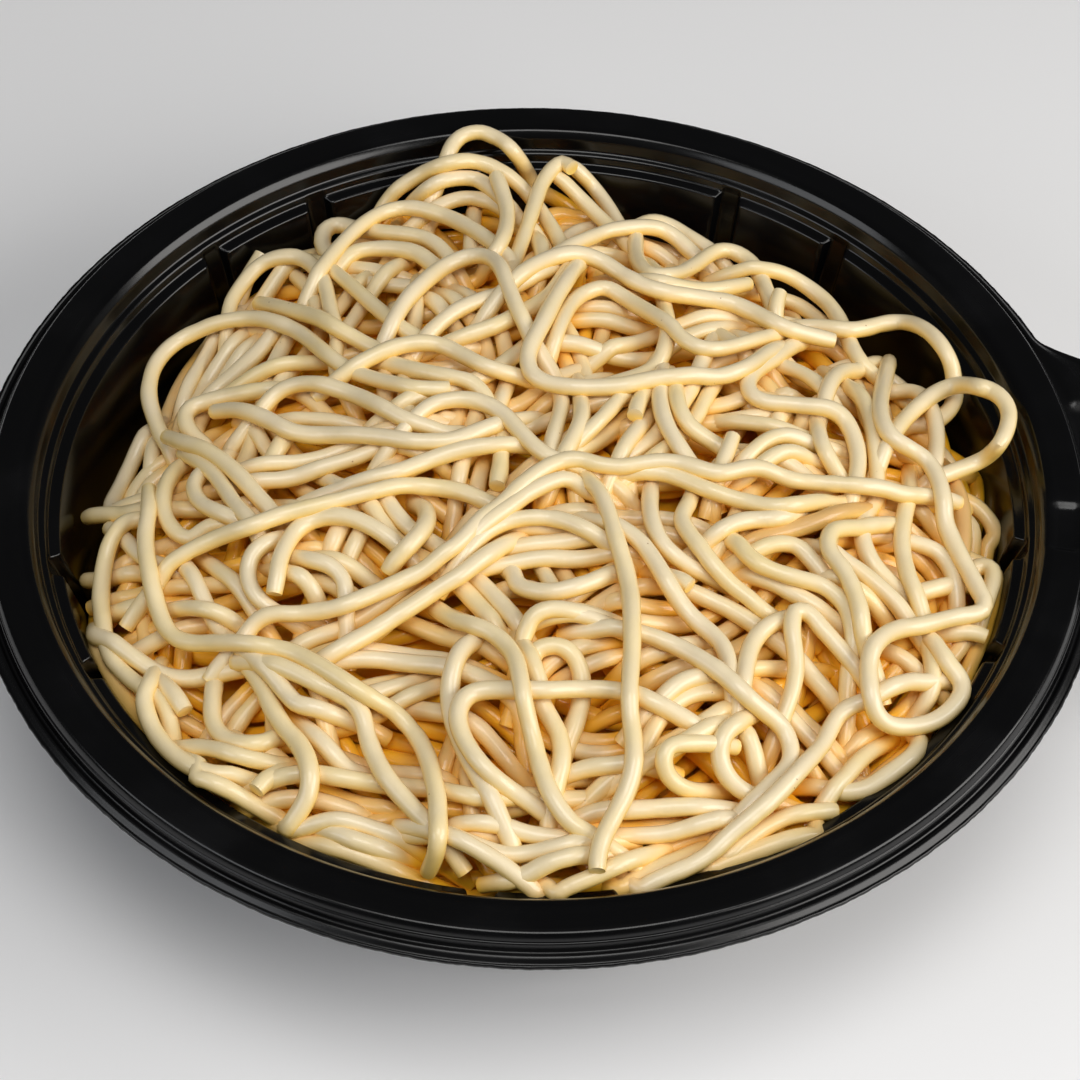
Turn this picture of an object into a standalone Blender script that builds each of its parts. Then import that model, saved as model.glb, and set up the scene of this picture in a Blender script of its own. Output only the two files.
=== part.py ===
# A round black takeaway tray heaped with cooked noodles.
# Metres, +Z up. The origin is the middle of the tray's flat underside.

import math
import random

import bmesh
import bpy
import numpy as np
from mathutils import Vector

MM = 0.001

# Tray, in millimetres. Heights marked "below" are measured down from the rim's top crease.
RIM_HEIGHT = 45.0
SHEET = 0.9                    # wall thickness of the moulded sheet
WALL_DRAFT = math.radians(14.0)
FILLET_RADIUS = 12.0           # between wall and floor, inside
FILLET_STEPS = 3
LEDGE_RADIUS = 81.0            # top of the wall
LEDGE_BELOW = 5.7
SHOULDER_RADIUS = 86.0         # inner edge of the flat rim band
CREASE_RADIUS = 92.0           # outer edge of the flat rim band
TRIM_RADIUS = 96.2             # cut edge of the flange
TRIM_BELOW = 3.8
AROUND_STEP = 8.0              # degrees between plain sections
AROUND_CLEAR = 0.3             # share of that step kept free beside an edge
LEAST_APART = 0.3              # degrees; closer edges count as one
TRAY_SHARP = math.radians(35)
PLASTIC_COLOR = (0.008, 0.008, 0.010)
PLASTIC_ROUGHNESS = 0.22
PLASTIC_COAT = 0.3

# Corners of the sheet's section, as radius and depth below the crease unless noted.
LEDGE_OUTER_RADIUS = 82.9
LEDGE_RISE = 0.3               # across the ledge
LEDGE_LEAST = 0.1              # ledge left behind a flute
STEP_CORNERS = [(83.3, 3.9), (84.4, 3.6), (84.9, 1.4)]
SHOULDER_BELOW = 0.1
BAND_FROM_SHOULDER = 1.8       # the band may dip from here
BAND_FROM_CREASE = 1.4         # to here
FLANGE_CORNERS = [(0.8, 1.5), (1.3, 2.7)]                  # radius past the crease
EDGE_CORNERS = [(1.5, 0.3, 2.9), (0.7, 0.8, 3.3)]          # short of the trim, share of the tab, depth
UNDER_EDGE = (1.0, 0.8, 0.5)                               # the same, depth past the trim's
UNDER_FLANGE = (0.8, 3.9)                                  # radius past the crease
UNDER_CREASE = (0.2, 1.1)                                  # radius inside the crease
UNDER_BAND_DEPTH = 1.0
UNDER_BAND_FROM_SHOULDER = 1.3
UNDER_SHOULDER = (0.4, 2.2)                                # radius past the shoulder
UNDER_STEP = (85.1, 5.0)
UNDER_LEDGE_OUTER = (83.7, 0.6, 0.9)                       # radius, share of a flute, past the ledge
UNDER_LEDGE_INNER = (0.9, 2.2, 1.1)                        # the same, radius past the ledge's

# Flutes: upright grooves in the wall, in five pairs.
FLUTE_PAIRS = 5
FLUTE_FIRST_PAIR = -14.8       # degrees
FLUTE_HALF_GAP = 8.1           # degrees from a pair's middle to each flute
FLUTE_HALF_MOUTH = 1.85        # degrees
FLUTE_HALF_FLOOR = 1.05        # degrees
FLUTE_DEPTH = 2.1
FLUTE_FOOT_DEPTH = 1.0

# Pull tab on the flange, with a thumb recess, and the small dent in the rim band beside it.
TAB_MIDDLE = 4.0               # degrees
TAB_HALF_ANGLE = 19.5
TAB_SHOULDER = 8.0             # degrees over which the tab's side curves out
TAB_REACH = 9.0
TAB_SIDE_PARTS = (0.35, 0.65, 1.0)   # where the tab's side has sections
RECESS_MIDDLE = 4.5            # degrees
RECESS_HALF_ANGLE = 9.0
RECESS_SLOPE = 1.5             # degrees
RECESS_DEPTH = 1.2
DENT_MIDDLE = -5.9             # degrees
DENT_HALF_ANGLE = 3.7
DENT_SLOPE = 1.1               # degrees
DENT_DEPTH = 0.8

# Noodles, in millimetres.
NOODLE_RADIUS = 1.5
NOODLE_BEVEL = 1
NOODLE_SHARP = math.radians(50)
NOODLE_COLOR = (0.86, 0.72, 0.42)
NOODLE_ROUGHNESS = 0.38
WELD = 0.01                    # points closer than this become one
GAP = 0.3                      # air between the tray and the noodles
FACET_ROOM = 0.3               # more air, for the flats of the facets
RIM_ROOM = 3.2                 # above the ledge the noodles stay this far inside the shoulder
CROWN_ABOVE = 8.0              # top of the heap above the rim's crease
EDGE_BELOW = 7.0               # how far below the crease the heap's shoulder lies
SKIRT_SLOPE = 1.15             # fall per millimetre outside that shoulder
SURFACE_POWER = 2.6            # how flat the heap's crown is
LUMP_HEIGHT = 1.3              # unevenness of the heap's surface
LUMP_LENGTH = 47.0
LUMP_SKEW = (0.4, 0.3)         # how far the rows of lumps lean
LUMP_PHASE = 1.0
CORE_SUNK = 2.4                # the core's surface lies this far under the heap's
CORE_RINGS = 6
CORE_SIDES = 24
CORE_INSET = 0.5
CORE_RIM_STEP = 0.25
BUNDLES = 9
STRANDS_PER_BUNDLE = 2
BUNDLE_SPREAD = 54.0           # how far out the bundles' middles lie
BUNDLE_LIMIT = 79.0            # how far out a bundle may swing
BUNDLE_SHARE = (0.45, 0.8)     # smallest and largest bundle, as a share of its room
BUNDLE_SWEEP = (2.8, 4.6)      # radians
BUNDLE_WAVE = 3.0
BUNDLE_WAVES = 3.0             # waves in a full turn
LANE_PITCH = 4.2               # between neighbours in a bundle
LANE_SHIFT = 9.0               # how far their ends are staggered
STRAND_STEP = 7.5
STRAND_SEED = 14
TRIANGLE_SHARE = 0.58          # share of the union's triangles that is kept
WEAVE = 0.8                    # how far a strand rises and dips along its way
WEAVE_LENGTH = 43.0            # length of one rise and dip

# Where the heap's shoulder runs: (azimuth in degrees, radius).
SHOULDER_LINE = [(-150, 77.0), (-90, 79.0), (-40, 79.0), (-5, 76.0), (30, 68.0), (60, 66.0),
                 (85, 70.0), (105, 76.0), (130, 72.0), (165, 67.0)]

# Bundles along the heap's edge: (start azimuth, sweep, radius).
EDGE_RUNS = [(-158.0, 78.0, 68.0), (-98.0, 62.0, 71.0), (-52.0, 58.0, 64.0), (62.0, 78.0, 55.0),
             (-140.0, 100.0, 52.0)]

# Loose loops that stand clear of the heap: (x, y, height over the crease, radius, gap's azimuth).
LOOSE_LOOPS = [(70.0, 4.0, -4.0, 9.0, 200.0),
               (61.0, 28.0, -7.0, 11.0, 215.0),
               (-12.0, 69.0, 3.0, 10.0, 275.0),
               (-56.0, 17.0, -5.0, 10.0, -20.0),
               (-62.0, -27.0, -5.0, 12.0, 20.0)]
LOOP_OPENING = 80.0            # degrees left out of each loop
LOOP_STEPS = 13
LOOP_DIVE = 1.0                # how far its ends sink under the surface
LOOP_DIVE_POWER = 4


def clear_scene():
    for item in list(bpy.data.objects):
        bpy.data.objects.remove(item, do_unlink=True)


def make_material(name, color, roughness, coat=0.0):
    material = bpy.data.materials.new(name)
    material.use_nodes = True
    shader = material.node_tree.nodes["Principled BSDF"]
    shader.inputs["Base Color"].default_value = (*color, 1.0)
    shader.inputs["Roughness"].default_value = roughness
    shader.inputs["Coat Weight"].default_value = coat
    return material


def degrees_apart(a, b):
    """Smallest angle between two azimuths."""
    return abs((a - b + 180.0) % 360.0 - 180.0)


def ramp(value, low, high):
    """0 up to low, 1 from high on, straight in between."""
    return min(1.0, max(0.0, (value - low) / (high - low)))


def smooth_ramp(value, low, high):
    t = ramp(value, low, high)
    return t * t * (3.0 - 2.0 * t)


def flute_azimuths():
    """Middle of every flute, in degrees."""
    pairs = [FLUTE_FIRST_PAIR + 360.0 / FLUTE_PAIRS * index for index in range(FLUTE_PAIRS)]
    return [pair + side * FLUTE_HALF_GAP for pair in pairs for side in (-1, 1)]


def flute_share(azimuth):
    """1 on a flute's floor, 0 on the plain wall."""
    nearest = min(degrees_apart(azimuth, middle) for middle in flute_azimuths())
    return 1.0 - ramp(nearest, FLUTE_HALF_FLOOR, FLUTE_HALF_MOUTH)


def tab_reach(azimuth):
    """How far the tab runs out past the round trim edge."""
    inside = TAB_HALF_ANGLE - degrees_apart(azimuth, TAB_MIDDLE)
    return TAB_REACH * smooth_ramp(inside, 0.0, TAB_SHOULDER)


def recess_depth(azimuth):
    inside = RECESS_HALF_ANGLE - degrees_apart(azimuth, RECESS_MIDDLE)
    return RECESS_DEPTH * ramp(inside, 0.0, RECESS_SLOPE)


def dent_depth(azimuth):
    inside = DENT_HALF_ANGLE - degrees_apart(azimuth, DENT_MIDDLE)
    return DENT_DEPTH * ramp(inside, 0.0, DENT_SLOPE)


def section_azimuths():
    """Azimuths of the tray's sections: even ones, and each edge of a flute, tab, recess and dent."""
    edges = []
    for middle in flute_azimuths():
        for half in (FLUTE_HALF_MOUTH, FLUTE_HALF_FLOOR):
            edges += [middle - half, middle + half]
    for side in (-1, 1):
        edges.append(TAB_MIDDLE + side * TAB_HALF_ANGLE)
        edges += [TAB_MIDDLE + side * (TAB_HALF_ANGLE - TAB_SHOULDER * part) for part in TAB_SIDE_PARTS]
        edges.append(RECESS_MIDDLE + side * (RECESS_HALF_ANGLE - RECESS_SLOPE))
        edges.append(RECESS_MIDDLE + side * RECESS_HALF_ANGLE)
        edges.append(DENT_MIDDLE + side * DENT_HALF_ANGLE)
        edges.append(DENT_MIDDLE + side * (DENT_HALF_ANGLE - DENT_SLOPE))
    even = [AROUND_STEP * index for index in range(round(360.0 / AROUND_STEP))]
    kept = []
    for azimuth in sorted(angle % 360.0 for angle in edges):
        if all(degrees_apart(azimuth, other) > LEAST_APART for other in kept):
            kept.append(azimuth)
    clear = AROUND_STEP * AROUND_CLEAR
    spaced = [angle for angle in even if all(degrees_apart(angle, edge) > clear for edge in kept)]
    return sorted(kept + spaced)


def wall_radius(below):
    """Inner radius of the plain wall at a depth below the crease."""
    return LEDGE_RADIUS - (below - LEDGE_BELOW) * math.tan(WALL_DRAFT)


def fillet_arc(offset):
    """Wall-to-floor arc as (radius, below) points from the floor up, offset outwards by the sheet."""
    floor_below = RIM_HEIGHT - SHEET
    corner = wall_radius(floor_below)
    reach = FILLET_RADIUS * math.tan((math.pi / 2 - WALL_DRAFT) / 2)
    centre_radius = corner - reach
    centre_below = floor_below - FILLET_RADIUS
    points = []
    for index in range(FILLET_STEPS + 1):
        turn = (math.pi / 2 - WALL_DRAFT) * index / FILLET_STEPS
        size = FILLET_RADIUS + offset
        points.append((centre_radius + size * math.sin(turn), centre_below + size * math.cos(turn)))
    return points


def inner_section(azimuth):
    """Upper face of the sheet from the floor out to the trim edge: (radius, below)."""
    flute = flute_share(azimuth)
    reach = tab_reach(azimuth)
    recess = recess_depth(azimuth)
    dent = dent_depth(azimuth)
    floor, *curve, wall_foot = fillet_arc(0.0)
    behind_flute = LEDGE_RADIUS + (FLUTE_DEPTH + LEDGE_LEAST) * flute
    return [
        floor,
        *curve,
        (wall_foot[0] + FLUTE_FOOT_DEPTH * flute, wall_foot[1]),
        (LEDGE_RADIUS + FLUTE_DEPTH * flute, LEDGE_BELOW),
        (max(LEDGE_OUTER_RADIUS, behind_flute), LEDGE_BELOW - LEDGE_RISE),
        *STEP_CORNERS,
        (SHOULDER_RADIUS, SHOULDER_BELOW),
        (SHOULDER_RADIUS + BAND_FROM_SHOULDER, dent),
        (CREASE_RADIUS - BAND_FROM_CREASE, dent),
        (CREASE_RADIUS, 0.0),
        *[(CREASE_RADIUS + past, below) for past, below in FLANGE_CORNERS],
        *[(TRIM_RADIUS - short + share * reach, below + recess) for short, share, below in EDGE_CORNERS],
        (TRIM_RADIUS + reach, TRIM_BELOW),
    ]


def outer_section(azimuth):
    """Under face of the sheet from the trim edge back to the floor: (radius, below)."""
    flute = flute_share(azimuth)
    reach = tab_reach(azimuth)
    recess = recess_depth(azimuth)
    dent = dent_depth(azimuth)
    floor, *curve, wall_foot = fillet_arc(SHEET)
    short, share, past_trim = UNDER_EDGE
    outer_radius, outer_share, outer_past = UNDER_LEDGE_OUTER
    inner_past_radius, inner_share, inner_past = UNDER_LEDGE_INNER
    return [
        (TRIM_RADIUS + reach, TRIM_BELOW + SHEET),
        (TRIM_RADIUS - short + share * reach, TRIM_BELOW + past_trim + recess),
        (CREASE_RADIUS + UNDER_FLANGE[0], UNDER_FLANGE[1] + recess),
        (CREASE_RADIUS - UNDER_CREASE[0], UNDER_CREASE[1]),
        (CREASE_RADIUS - BAND_FROM_CREASE, UNDER_BAND_DEPTH + dent),
        (SHOULDER_RADIUS + UNDER_BAND_FROM_SHOULDER, UNDER_BAND_DEPTH + dent),
        (SHOULDER_RADIUS + UNDER_SHOULDER[0], UNDER_SHOULDER[1]),
        UNDER_STEP,
        (outer_radius + outer_share * flute, LEDGE_BELOW + outer_past),
        (LEDGE_RADIUS + inner_past_radius + inner_share * flute, LEDGE_BELOW + inner_past),
        (wall_foot[0] + FLUTE_FOOT_DEPTH * flute, wall_foot[1]),
        *reversed(curve),
        floor,
    ]


def polar_point(azimuth, radius, below):
    angle = math.radians(azimuth)
    return Vector((radius * math.cos(angle), radius * math.sin(angle), RIM_HEIGHT - below)) * MM


def make_tray():
    """One thin moulded sheet: a ring of sections, closed by the floor's two faces."""
    mesh = bmesh.new()
    sections = []
    for azimuth in section_azimuths():
        outline = inner_section(azimuth) + outer_section(azimuth)
        sections.append([mesh.verts.new(polar_point(azimuth, *point)) for point in outline])
    count = len(sections)
    for index, section in enumerate(sections):
        following = sections[(index + 1) % count]
        for near, far in zip(range(len(section) - 1), range(1, len(section))):
            mesh.faces.new((section[near], section[far], following[far], following[near]))
    for end, below in ((0, RIM_HEIGHT - SHEET), (-1, RIM_HEIGHT)):
        middle = mesh.verts.new(Vector((0.0, 0.0, RIM_HEIGHT - below)) * MM)
        for index, section in enumerate(sections):
            following = sections[(index + 1) % count]
            mesh.faces.new((middle, section[end], following[end]))
    bmesh.ops.recalc_face_normals(mesh, faces=mesh.faces)
    data = bpy.data.meshes.new("tray")
    mesh.to_mesh(data)
    mesh.free()
    data.shade_smooth()
    data.set_sharp_from_angle(angle=TRAY_SHARP)
    data.materials.append(make_material("black_plastic", PLASTIC_COLOR, PLASTIC_ROUGHNESS, PLASTIC_COAT))
    tray = bpy.data.objects.new("tray", data)
    bpy.context.collection.objects.link(tray)
    return tray


def shoulder_radius(azimuth):
    """Radius of the heap's shoulder at an azimuth, eased between the given points."""
    points = sorted(((a % 360.0, r) for a, r in SHOULDER_LINE))
    points.append((points[0][0] + 360.0, points[0][1]))
    angle = azimuth % 360.0
    if angle < points[0][0]:
        angle += 360.0
    for (start, first), (end, second) in zip(points, points[1:]):
        if start <= angle <= end:
            return first + (second - first) * smooth_ramp(angle, start, end)
    return points[0][1]


def heap_height(x, y):
    """Height of the heap's surface over the crease plane."""
    radius = math.hypot(x, y)
    edge = shoulder_radius(math.degrees(math.atan2(y, x)))
    share = radius / edge
    if share > 1.0:
        return -EDGE_BELOW - (radius - edge) * SKIRT_SLOPE
    wave = 2.0 * math.pi / LUMP_LENGTH
    along = math.sin(wave * (x + LUMP_SKEW[0] * y))
    across = math.cos(wave * (y - LUMP_SKEW[1] * x) + LUMP_PHASE)
    lump = LUMP_HEIGHT * along * across
    rise = 1.0 - share ** SURFACE_POWER
    return -EDGE_BELOW + (CROWN_ABOVE + EDGE_BELOW + lump) * rise


def room_radius(height):
    """Largest radius that the noodles may fill at a height over the crease plane."""
    facet = LEDGE_RADIUS * (1.0 - math.cos(math.radians(AROUND_STEP / 2)))
    if height > -LEDGE_BELOW + LEDGE_RISE:
        return SHOULDER_RADIUS - RIM_ROOM
    return wall_radius(-height) - (GAP + facet) / math.cos(WALL_DRAFT)


def make_core():
    """The packed mass under the showing strands, from the floor up to just under the surface."""
    mesh = bmesh.new()
    floor_height = -(RIM_HEIGHT - SHEET) + GAP
    bottom = [(radius, GAP - below) for radius, below in fillet_arc(-(GAP + FACET_ROOM))]
    rings = []
    for azimuth in np.linspace(0.0, 360.0, CORE_SIDES, endpoint=False):
        cosine = math.cos(math.radians(azimuth))
        sine = math.sin(math.radians(azimuth))
        rim = bottom[-1][0]
        while rim < room_radius(heap_height(rim * cosine, rim * sine) - CORE_SUNK) - CORE_INSET:
            rim += CORE_RIM_STEP
        ring = [(bottom[0][0], floor_height)] + bottom[1:]
        ring.append((rim, heap_height(rim * cosine, rim * sine) - CORE_SUNK))
        for index in range(CORE_RINGS - 1, 0, -1):
            radius = rim * index / CORE_RINGS
            ring.append((radius, heap_height(radius * cosine, radius * sine) - CORE_SUNK))
        rings.append([mesh.verts.new(polar_point(azimuth, radius, -height)) for radius, height in ring])
    for index, ring in enumerate(rings):
        following = rings[(index + 1) % CORE_SIDES]
        for near, far in zip(range(len(ring) - 1), range(1, len(ring))):
            mesh.faces.new((ring[near], ring[far], following[far], following[near]))
    for end, height in ((0, floor_height), (-1, heap_height(0.0, 0.0) - CORE_SUNK)):
        middle = mesh.verts.new(Vector((0.0, 0.0, RIM_HEIGHT + height)) * MM)
        for index, ring in enumerate(rings):
            following = rings[(index + 1) % CORE_SIDES]
            mesh.faces.new((middle, ring[end], following[end]))
    bmesh.ops.recalc_face_normals(mesh, faces=mesh.faces)
    bmesh.ops.triangulate(mesh, faces=mesh.faces)
    data = bpy.data.meshes.new("noodles")
    mesh.to_mesh(data)
    mesh.free()
    core = bpy.data.objects.new("noodles", data)
    bpy.context.collection.objects.link(core)
    return core


def inner_bundles(rng):
    """Bundles that curl about middles spread evenly over the heap: (x, y, radius, start, sweep)."""
    golden = math.pi * (3.0 - math.sqrt(5.0))
    bundles = []
    for index in range(BUNDLES):
        away = BUNDLE_SPREAD * math.sqrt((index + 0.5) / BUNDLES)
        radius = (BUNDLE_LIMIT - away) * rng.uniform(*BUNDLE_SHARE)
        middle = (away * math.cos(golden * index), away * math.sin(golden * index))
        bundles.append((*middle, radius, rng.uniform(0.0, 2.0 * math.pi), rng.uniform(*BUNDLE_SWEEP)))
    return bundles


def edge_bundles():
    """Bundles that run along the heap's edge, in the same form."""
    return [(0.0, 0.0, radius, math.radians(start), math.radians(sweep))
            for start, sweep, radius in EDGE_RUNS]


def bundle_plans(rng, bundle):
    """Plan routes of one bundle: strands that lie side by side along a slightly wavy arc."""
    middle_x, middle_y, radius, start, sweep = bundle
    phase = rng.uniform(0.0, 2.0 * math.pi)
    plans = []
    for lane in range(STRANDS_PER_BUNDLE):
        lane_radius = radius + (lane - STRANDS_PER_BUNDLE / 2 + 0.5) * LANE_PITCH
        first = start + rng.uniform(-LANE_SHIFT, LANE_SHIFT) / lane_radius
        count = round(lane_radius * sweep / STRAND_STEP)
        plan = []
        for step in range(count + 1):
            angle = first + sweep * step / count
            reach = lane_radius + BUNDLE_WAVE * math.sin(BUNDLE_WAVES * angle + phase)
            x = middle_x + reach * math.cos(angle)
            y = middle_y + reach * math.sin(angle)
            limit = shoulder_radius(math.degrees(math.atan2(y, x))) - NOODLE_RADIUS
            shrink = limit / max(limit, math.hypot(x, y))
            plan.append((x * shrink, y * shrink))
        plans.append(plan)
    return plans


def lay_on_heap(plan, rng):
    """Heights of a strand on the heap: it weaves over and under the strands that it crosses."""
    phase = rng.uniform(0.0, 2.0 * math.pi)
    route = []
    for index, (x, y) in enumerate(plan):
        weave = WEAVE * math.sin(phase + index * STRAND_STEP * 2.0 * math.pi / WEAVE_LENGTH)
        route.append((x, y, heap_height(x, y) - NOODLE_RADIUS + weave))
    return route


def loop_route(loop):
    """A loose loop, nearly a full circle, whose ends dive into the heap at its gap."""
    x, y, height, radius, gap = loop
    first = gap + LOOP_OPENING / 2
    route = []
    for step in range(LOOP_STEPS + 1):
        share = step / LOOP_STEPS
        angle = math.radians(first + (360.0 - LOOP_OPENING) * share)
        dive = (2.0 * share - 1.0) ** LOOP_DIVE_POWER
        px = x + radius * math.cos(angle)
        py = y + radius * math.sin(angle)
        surface = heap_height(px, py) - NOODLE_RADIUS
        route.append((px, py, height + (min(surface, height) - LOOP_DIVE - height) * dive))
    return route


def keep_inside(route):
    """Pull a route in wherever a strand would meet the tray."""
    kept = []
    for x, y, z in route:
        limit = room_radius(z - NOODLE_RADIUS) - NOODLE_RADIUS - FACET_ROOM
        shrink = min(1.0, limit / max(1e-6, math.hypot(x, y)))
        kept.append((x * shrink, y * shrink, z))
    return kept


def make_strand(name, route, group):
    """A noodle: a poly curve with a round bevel and filled caps, turned into a mesh."""
    curve = bpy.data.curves.new(name, "CURVE")
    curve.dimensions = "3D"
    curve.bevel_depth = NOODLE_RADIUS * MM
    curve.bevel_resolution = NOODLE_BEVEL
    curve.use_fill_caps = True
    spline = curve.splines.new("POLY")
    spline.points.add(len(route) - 1)
    for point, (x, y, z) in zip(spline.points, route):
        point.co = (x * MM, y * MM, (RIM_HEIGHT + z) * MM, 1.0)
    guide = bpy.data.objects.new(name, curve)
    bpy.context.collection.objects.link(guide)
    graph = bpy.context.evaluated_depsgraph_get()
    data = bpy.data.meshes.new_from_object(guide.evaluated_get(graph))
    bpy.data.objects.remove(guide, do_unlink=True)
    bpy.data.curves.remove(curve)
    mesh = bmesh.new()
    mesh.from_mesh(data)
    bmesh.ops.remove_doubles(mesh, verts=mesh.verts, dist=WELD * MM)
    bmesh.ops.recalc_face_normals(mesh, faces=mesh.faces)
    bmesh.ops.triangulate(mesh, faces=mesh.faces)
    mesh.to_mesh(data)
    mesh.free()
    strand = bpy.data.objects.new(name, data)
    group.objects.link(strand)
    return strand


def mesh_islands(mesh):
    """Connected groups of faces in a bmesh."""
    left = set(mesh.faces)
    islands = []
    while left:
        island = {left.pop()}
        edge_faces = list(island)
        while edge_faces:
            face = edge_faces.pop()
            for edge in face.edges:
                for other in edge.link_faces:
                    if other in left:
                        left.remove(other)
                        island.add(other)
                        edge_faces.append(other)
        islands.append(island)
    return islands


def keep_largest_island(data):
    """Fill sealed hollows and drop loose scraps: only the largest closed skin stays."""
    mesh = bmesh.new()
    mesh.from_mesh(data)
    bmesh.ops.triangulate(mesh, faces=mesh.faces, quad_method="BEAUTY", ngon_method="BEAUTY")
    islands = sorted(mesh_islands(mesh), key=len)
    for island in islands[:-1]:
        bmesh.ops.delete(mesh, geom=list(island), context="FACES")
    mesh.to_mesh(data)
    mesh.free()


def apply_modifiers(item):
    """Swap an object's mesh for what its modifiers make of it."""
    graph = bpy.context.evaluated_depsgraph_get()
    result = bpy.data.meshes.new_from_object(item.evaluated_get(graph))
    item.modifiers.clear()
    item.data = result
    keep_largest_island(result)


def make_noodles():
    """The heap: a core with the showing strands fused on by one union."""
    core = make_core()
    group = bpy.data.collections.new("strands")
    bpy.context.scene.collection.children.link(group)
    rng = random.Random(STRAND_SEED)
    bundles = inner_bundles(rng) + edge_bundles()
    plans = [plan for bundle in bundles for plan in bundle_plans(rng, bundle)]
    routes = [lay_on_heap(plan, rng) for plan in plans]
    routes += [loop_route(loop) for loop in LOOSE_LOOPS]
    strands = [make_strand("strand_%02d" % index, keep_inside(route), group)
               for index, route in enumerate(routes)]
    union = core.modifiers.new("strands", "BOOLEAN")
    union.operation = "UNION"
    union.operand_type = "COLLECTION"
    union.collection = group
    union.solver = "EXACT"
    apply_modifiers(core)
    for strand in strands:
        bpy.data.objects.remove(strand, do_unlink=True)
    bpy.data.collections.remove(group)
    thin = core.modifiers.new("fewer_triangles", "DECIMATE")
    thin.ratio = TRIANGLE_SHARE
    apply_modifiers(core)
    core.data.materials.clear()
    core.data.materials.append(make_material("cooked_noodle", NOODLE_COLOR, NOODLE_ROUGHNESS))
    core.data.shade_smooth()
    core.data.set_sharp_from_angle(angle=NOODLE_SHARP)
    return core


def main():
    clear_scene()
    make_tray()
    make_noodles()


main()
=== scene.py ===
import math

import bpy
import numpy as np
from mathutils import Matrix, Vector


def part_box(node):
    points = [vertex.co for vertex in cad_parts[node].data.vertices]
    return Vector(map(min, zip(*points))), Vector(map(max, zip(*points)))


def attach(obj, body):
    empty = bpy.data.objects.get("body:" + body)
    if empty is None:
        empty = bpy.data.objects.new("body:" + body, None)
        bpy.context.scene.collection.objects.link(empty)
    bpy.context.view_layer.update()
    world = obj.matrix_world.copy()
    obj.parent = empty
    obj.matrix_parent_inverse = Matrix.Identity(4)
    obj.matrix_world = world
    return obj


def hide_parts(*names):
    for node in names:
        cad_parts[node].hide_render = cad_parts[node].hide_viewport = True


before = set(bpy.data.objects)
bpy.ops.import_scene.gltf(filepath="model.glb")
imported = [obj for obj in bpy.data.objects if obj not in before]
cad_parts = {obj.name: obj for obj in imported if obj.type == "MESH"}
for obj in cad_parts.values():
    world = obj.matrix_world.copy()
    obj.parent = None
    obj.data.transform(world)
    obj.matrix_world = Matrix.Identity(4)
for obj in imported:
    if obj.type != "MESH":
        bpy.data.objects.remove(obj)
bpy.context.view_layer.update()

mm = 0.001
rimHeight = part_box("tray")[1][2]      # the crease round the rim is the tray's highest line
print("frame loaded, rim crease %.1f mm up" % (rimHeight / mm))

# Lengths below are in millimetres, and heights are measured up from the rim's crease.


def addObject(name, data):
    made = bpy.data.objects.new(name, data)
    bpy.context.collection.objects.link(made)
    return made


# camera and light
photo = {
    "size": 1080,                     # pixels
    "focal": 2966.0,                  # pixels
    "place": (1.34, -332.86, 375.80),
    "pitch": 49.785,                  # degrees down from level
    "yaw": -0.126,
    "roll": 1.344,
}


def cameraAxes():
    pitch, yaw, roll = (math.radians(photo[key]) for key in ("pitch", "yaw", "roll"))
    forward = np.array([math.sin(yaw) * math.cos(pitch), math.cos(yaw) * math.cos(pitch), -math.sin(pitch)])
    level = np.array([math.cos(yaw), -math.sin(yaw), 0.0])
    up = np.cross(level, forward)
    right = math.cos(roll) * level + math.sin(roll) * up
    return right, math.cos(roll) * up - math.sin(roll) * level, forward


def pixelRays(pixels):
    right, up, forward = cameraAxes()
    offset = (np.asarray(pixels, float) - photo["size"] / 2) / photo["focal"]
    return forward + offset[:, :1] * right - offset[:, 1:] * up


def unproject(pixels, heights):       # points on the photograph's rays at the given heights
    rays = pixelRays(pixels)
    place = np.array(photo["place"])
    reach = (np.asarray(heights, float) - place[2]) / rays[:, 2]
    return place + rays * reach[:, None]


def makeCamera():
    right, up, forward = cameraAxes()
    data = bpy.data.cameras.new("camera")
    data.sensor_width = 36.0
    data.lens = photo["focal"] / photo["size"] * data.sensor_width
    data.clip_start = 0.01
    camera = addObject("camera", data)
    matrix = Matrix((right, up, -forward)).transposed().to_4x4()
    matrix.translation = Vector(photo["place"]) * mm + Vector((0.0, 0.0, rimHeight))
    camera.matrix_world = matrix
    bpy.context.scene.camera = camera


lights = {                            # azimuth, elevation (degrees), distance, size (m), power (W), colour
    "window": (-22.0, 31.0, 0.85, (0.80, 0.50), 6.6, (1.0, 0.98, 0.95)),
    "overhead": (-84.0, 74.0, 1.00, (0.60, 0.50), 4.2, (1.0, 0.99, 0.97)),
    "leftFill": (-150.0, 34.0, 1.00, (0.60, 0.45), 2.2, (0.95, 0.97, 1.0)),
}
sky = {"colour": (0.95, 0.97, 1.0), "strength": 0.06}


def makeLights():
    for name, (azimuth, elevation, distance, size, power, colour) in lights.items():
        turn, lift = math.radians(azimuth), math.radians(elevation)
        away = Vector((math.cos(turn) * math.cos(lift), math.sin(turn) * math.cos(lift), math.sin(lift)))
        data = bpy.data.lights.new(name, "AREA")
        data.shape = "RECTANGLE"
        data.size, data.size_y = size
        data.energy = power
        data.color = colour
        lamp = addObject(name, data)
        lamp.location = away * distance + Vector((0.0, 0.0, rimHeight))
        lamp.rotation_euler = away.to_track_quat("Z", "Y").to_euler()
    world = bpy.data.worlds.new("studio")
    world.use_nodes = True
    background = world.node_tree.nodes["Background"]
    background.inputs["Color"].default_value = (*sky["colour"], 1.0)
    background.inputs["Strength"].default_value = sky["strength"]
    bpy.context.scene.world = world
    bpy.context.scene.view_settings.view_transform = "Standard"


makeCamera()
makeLights()
print("camera and lights placed")


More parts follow.
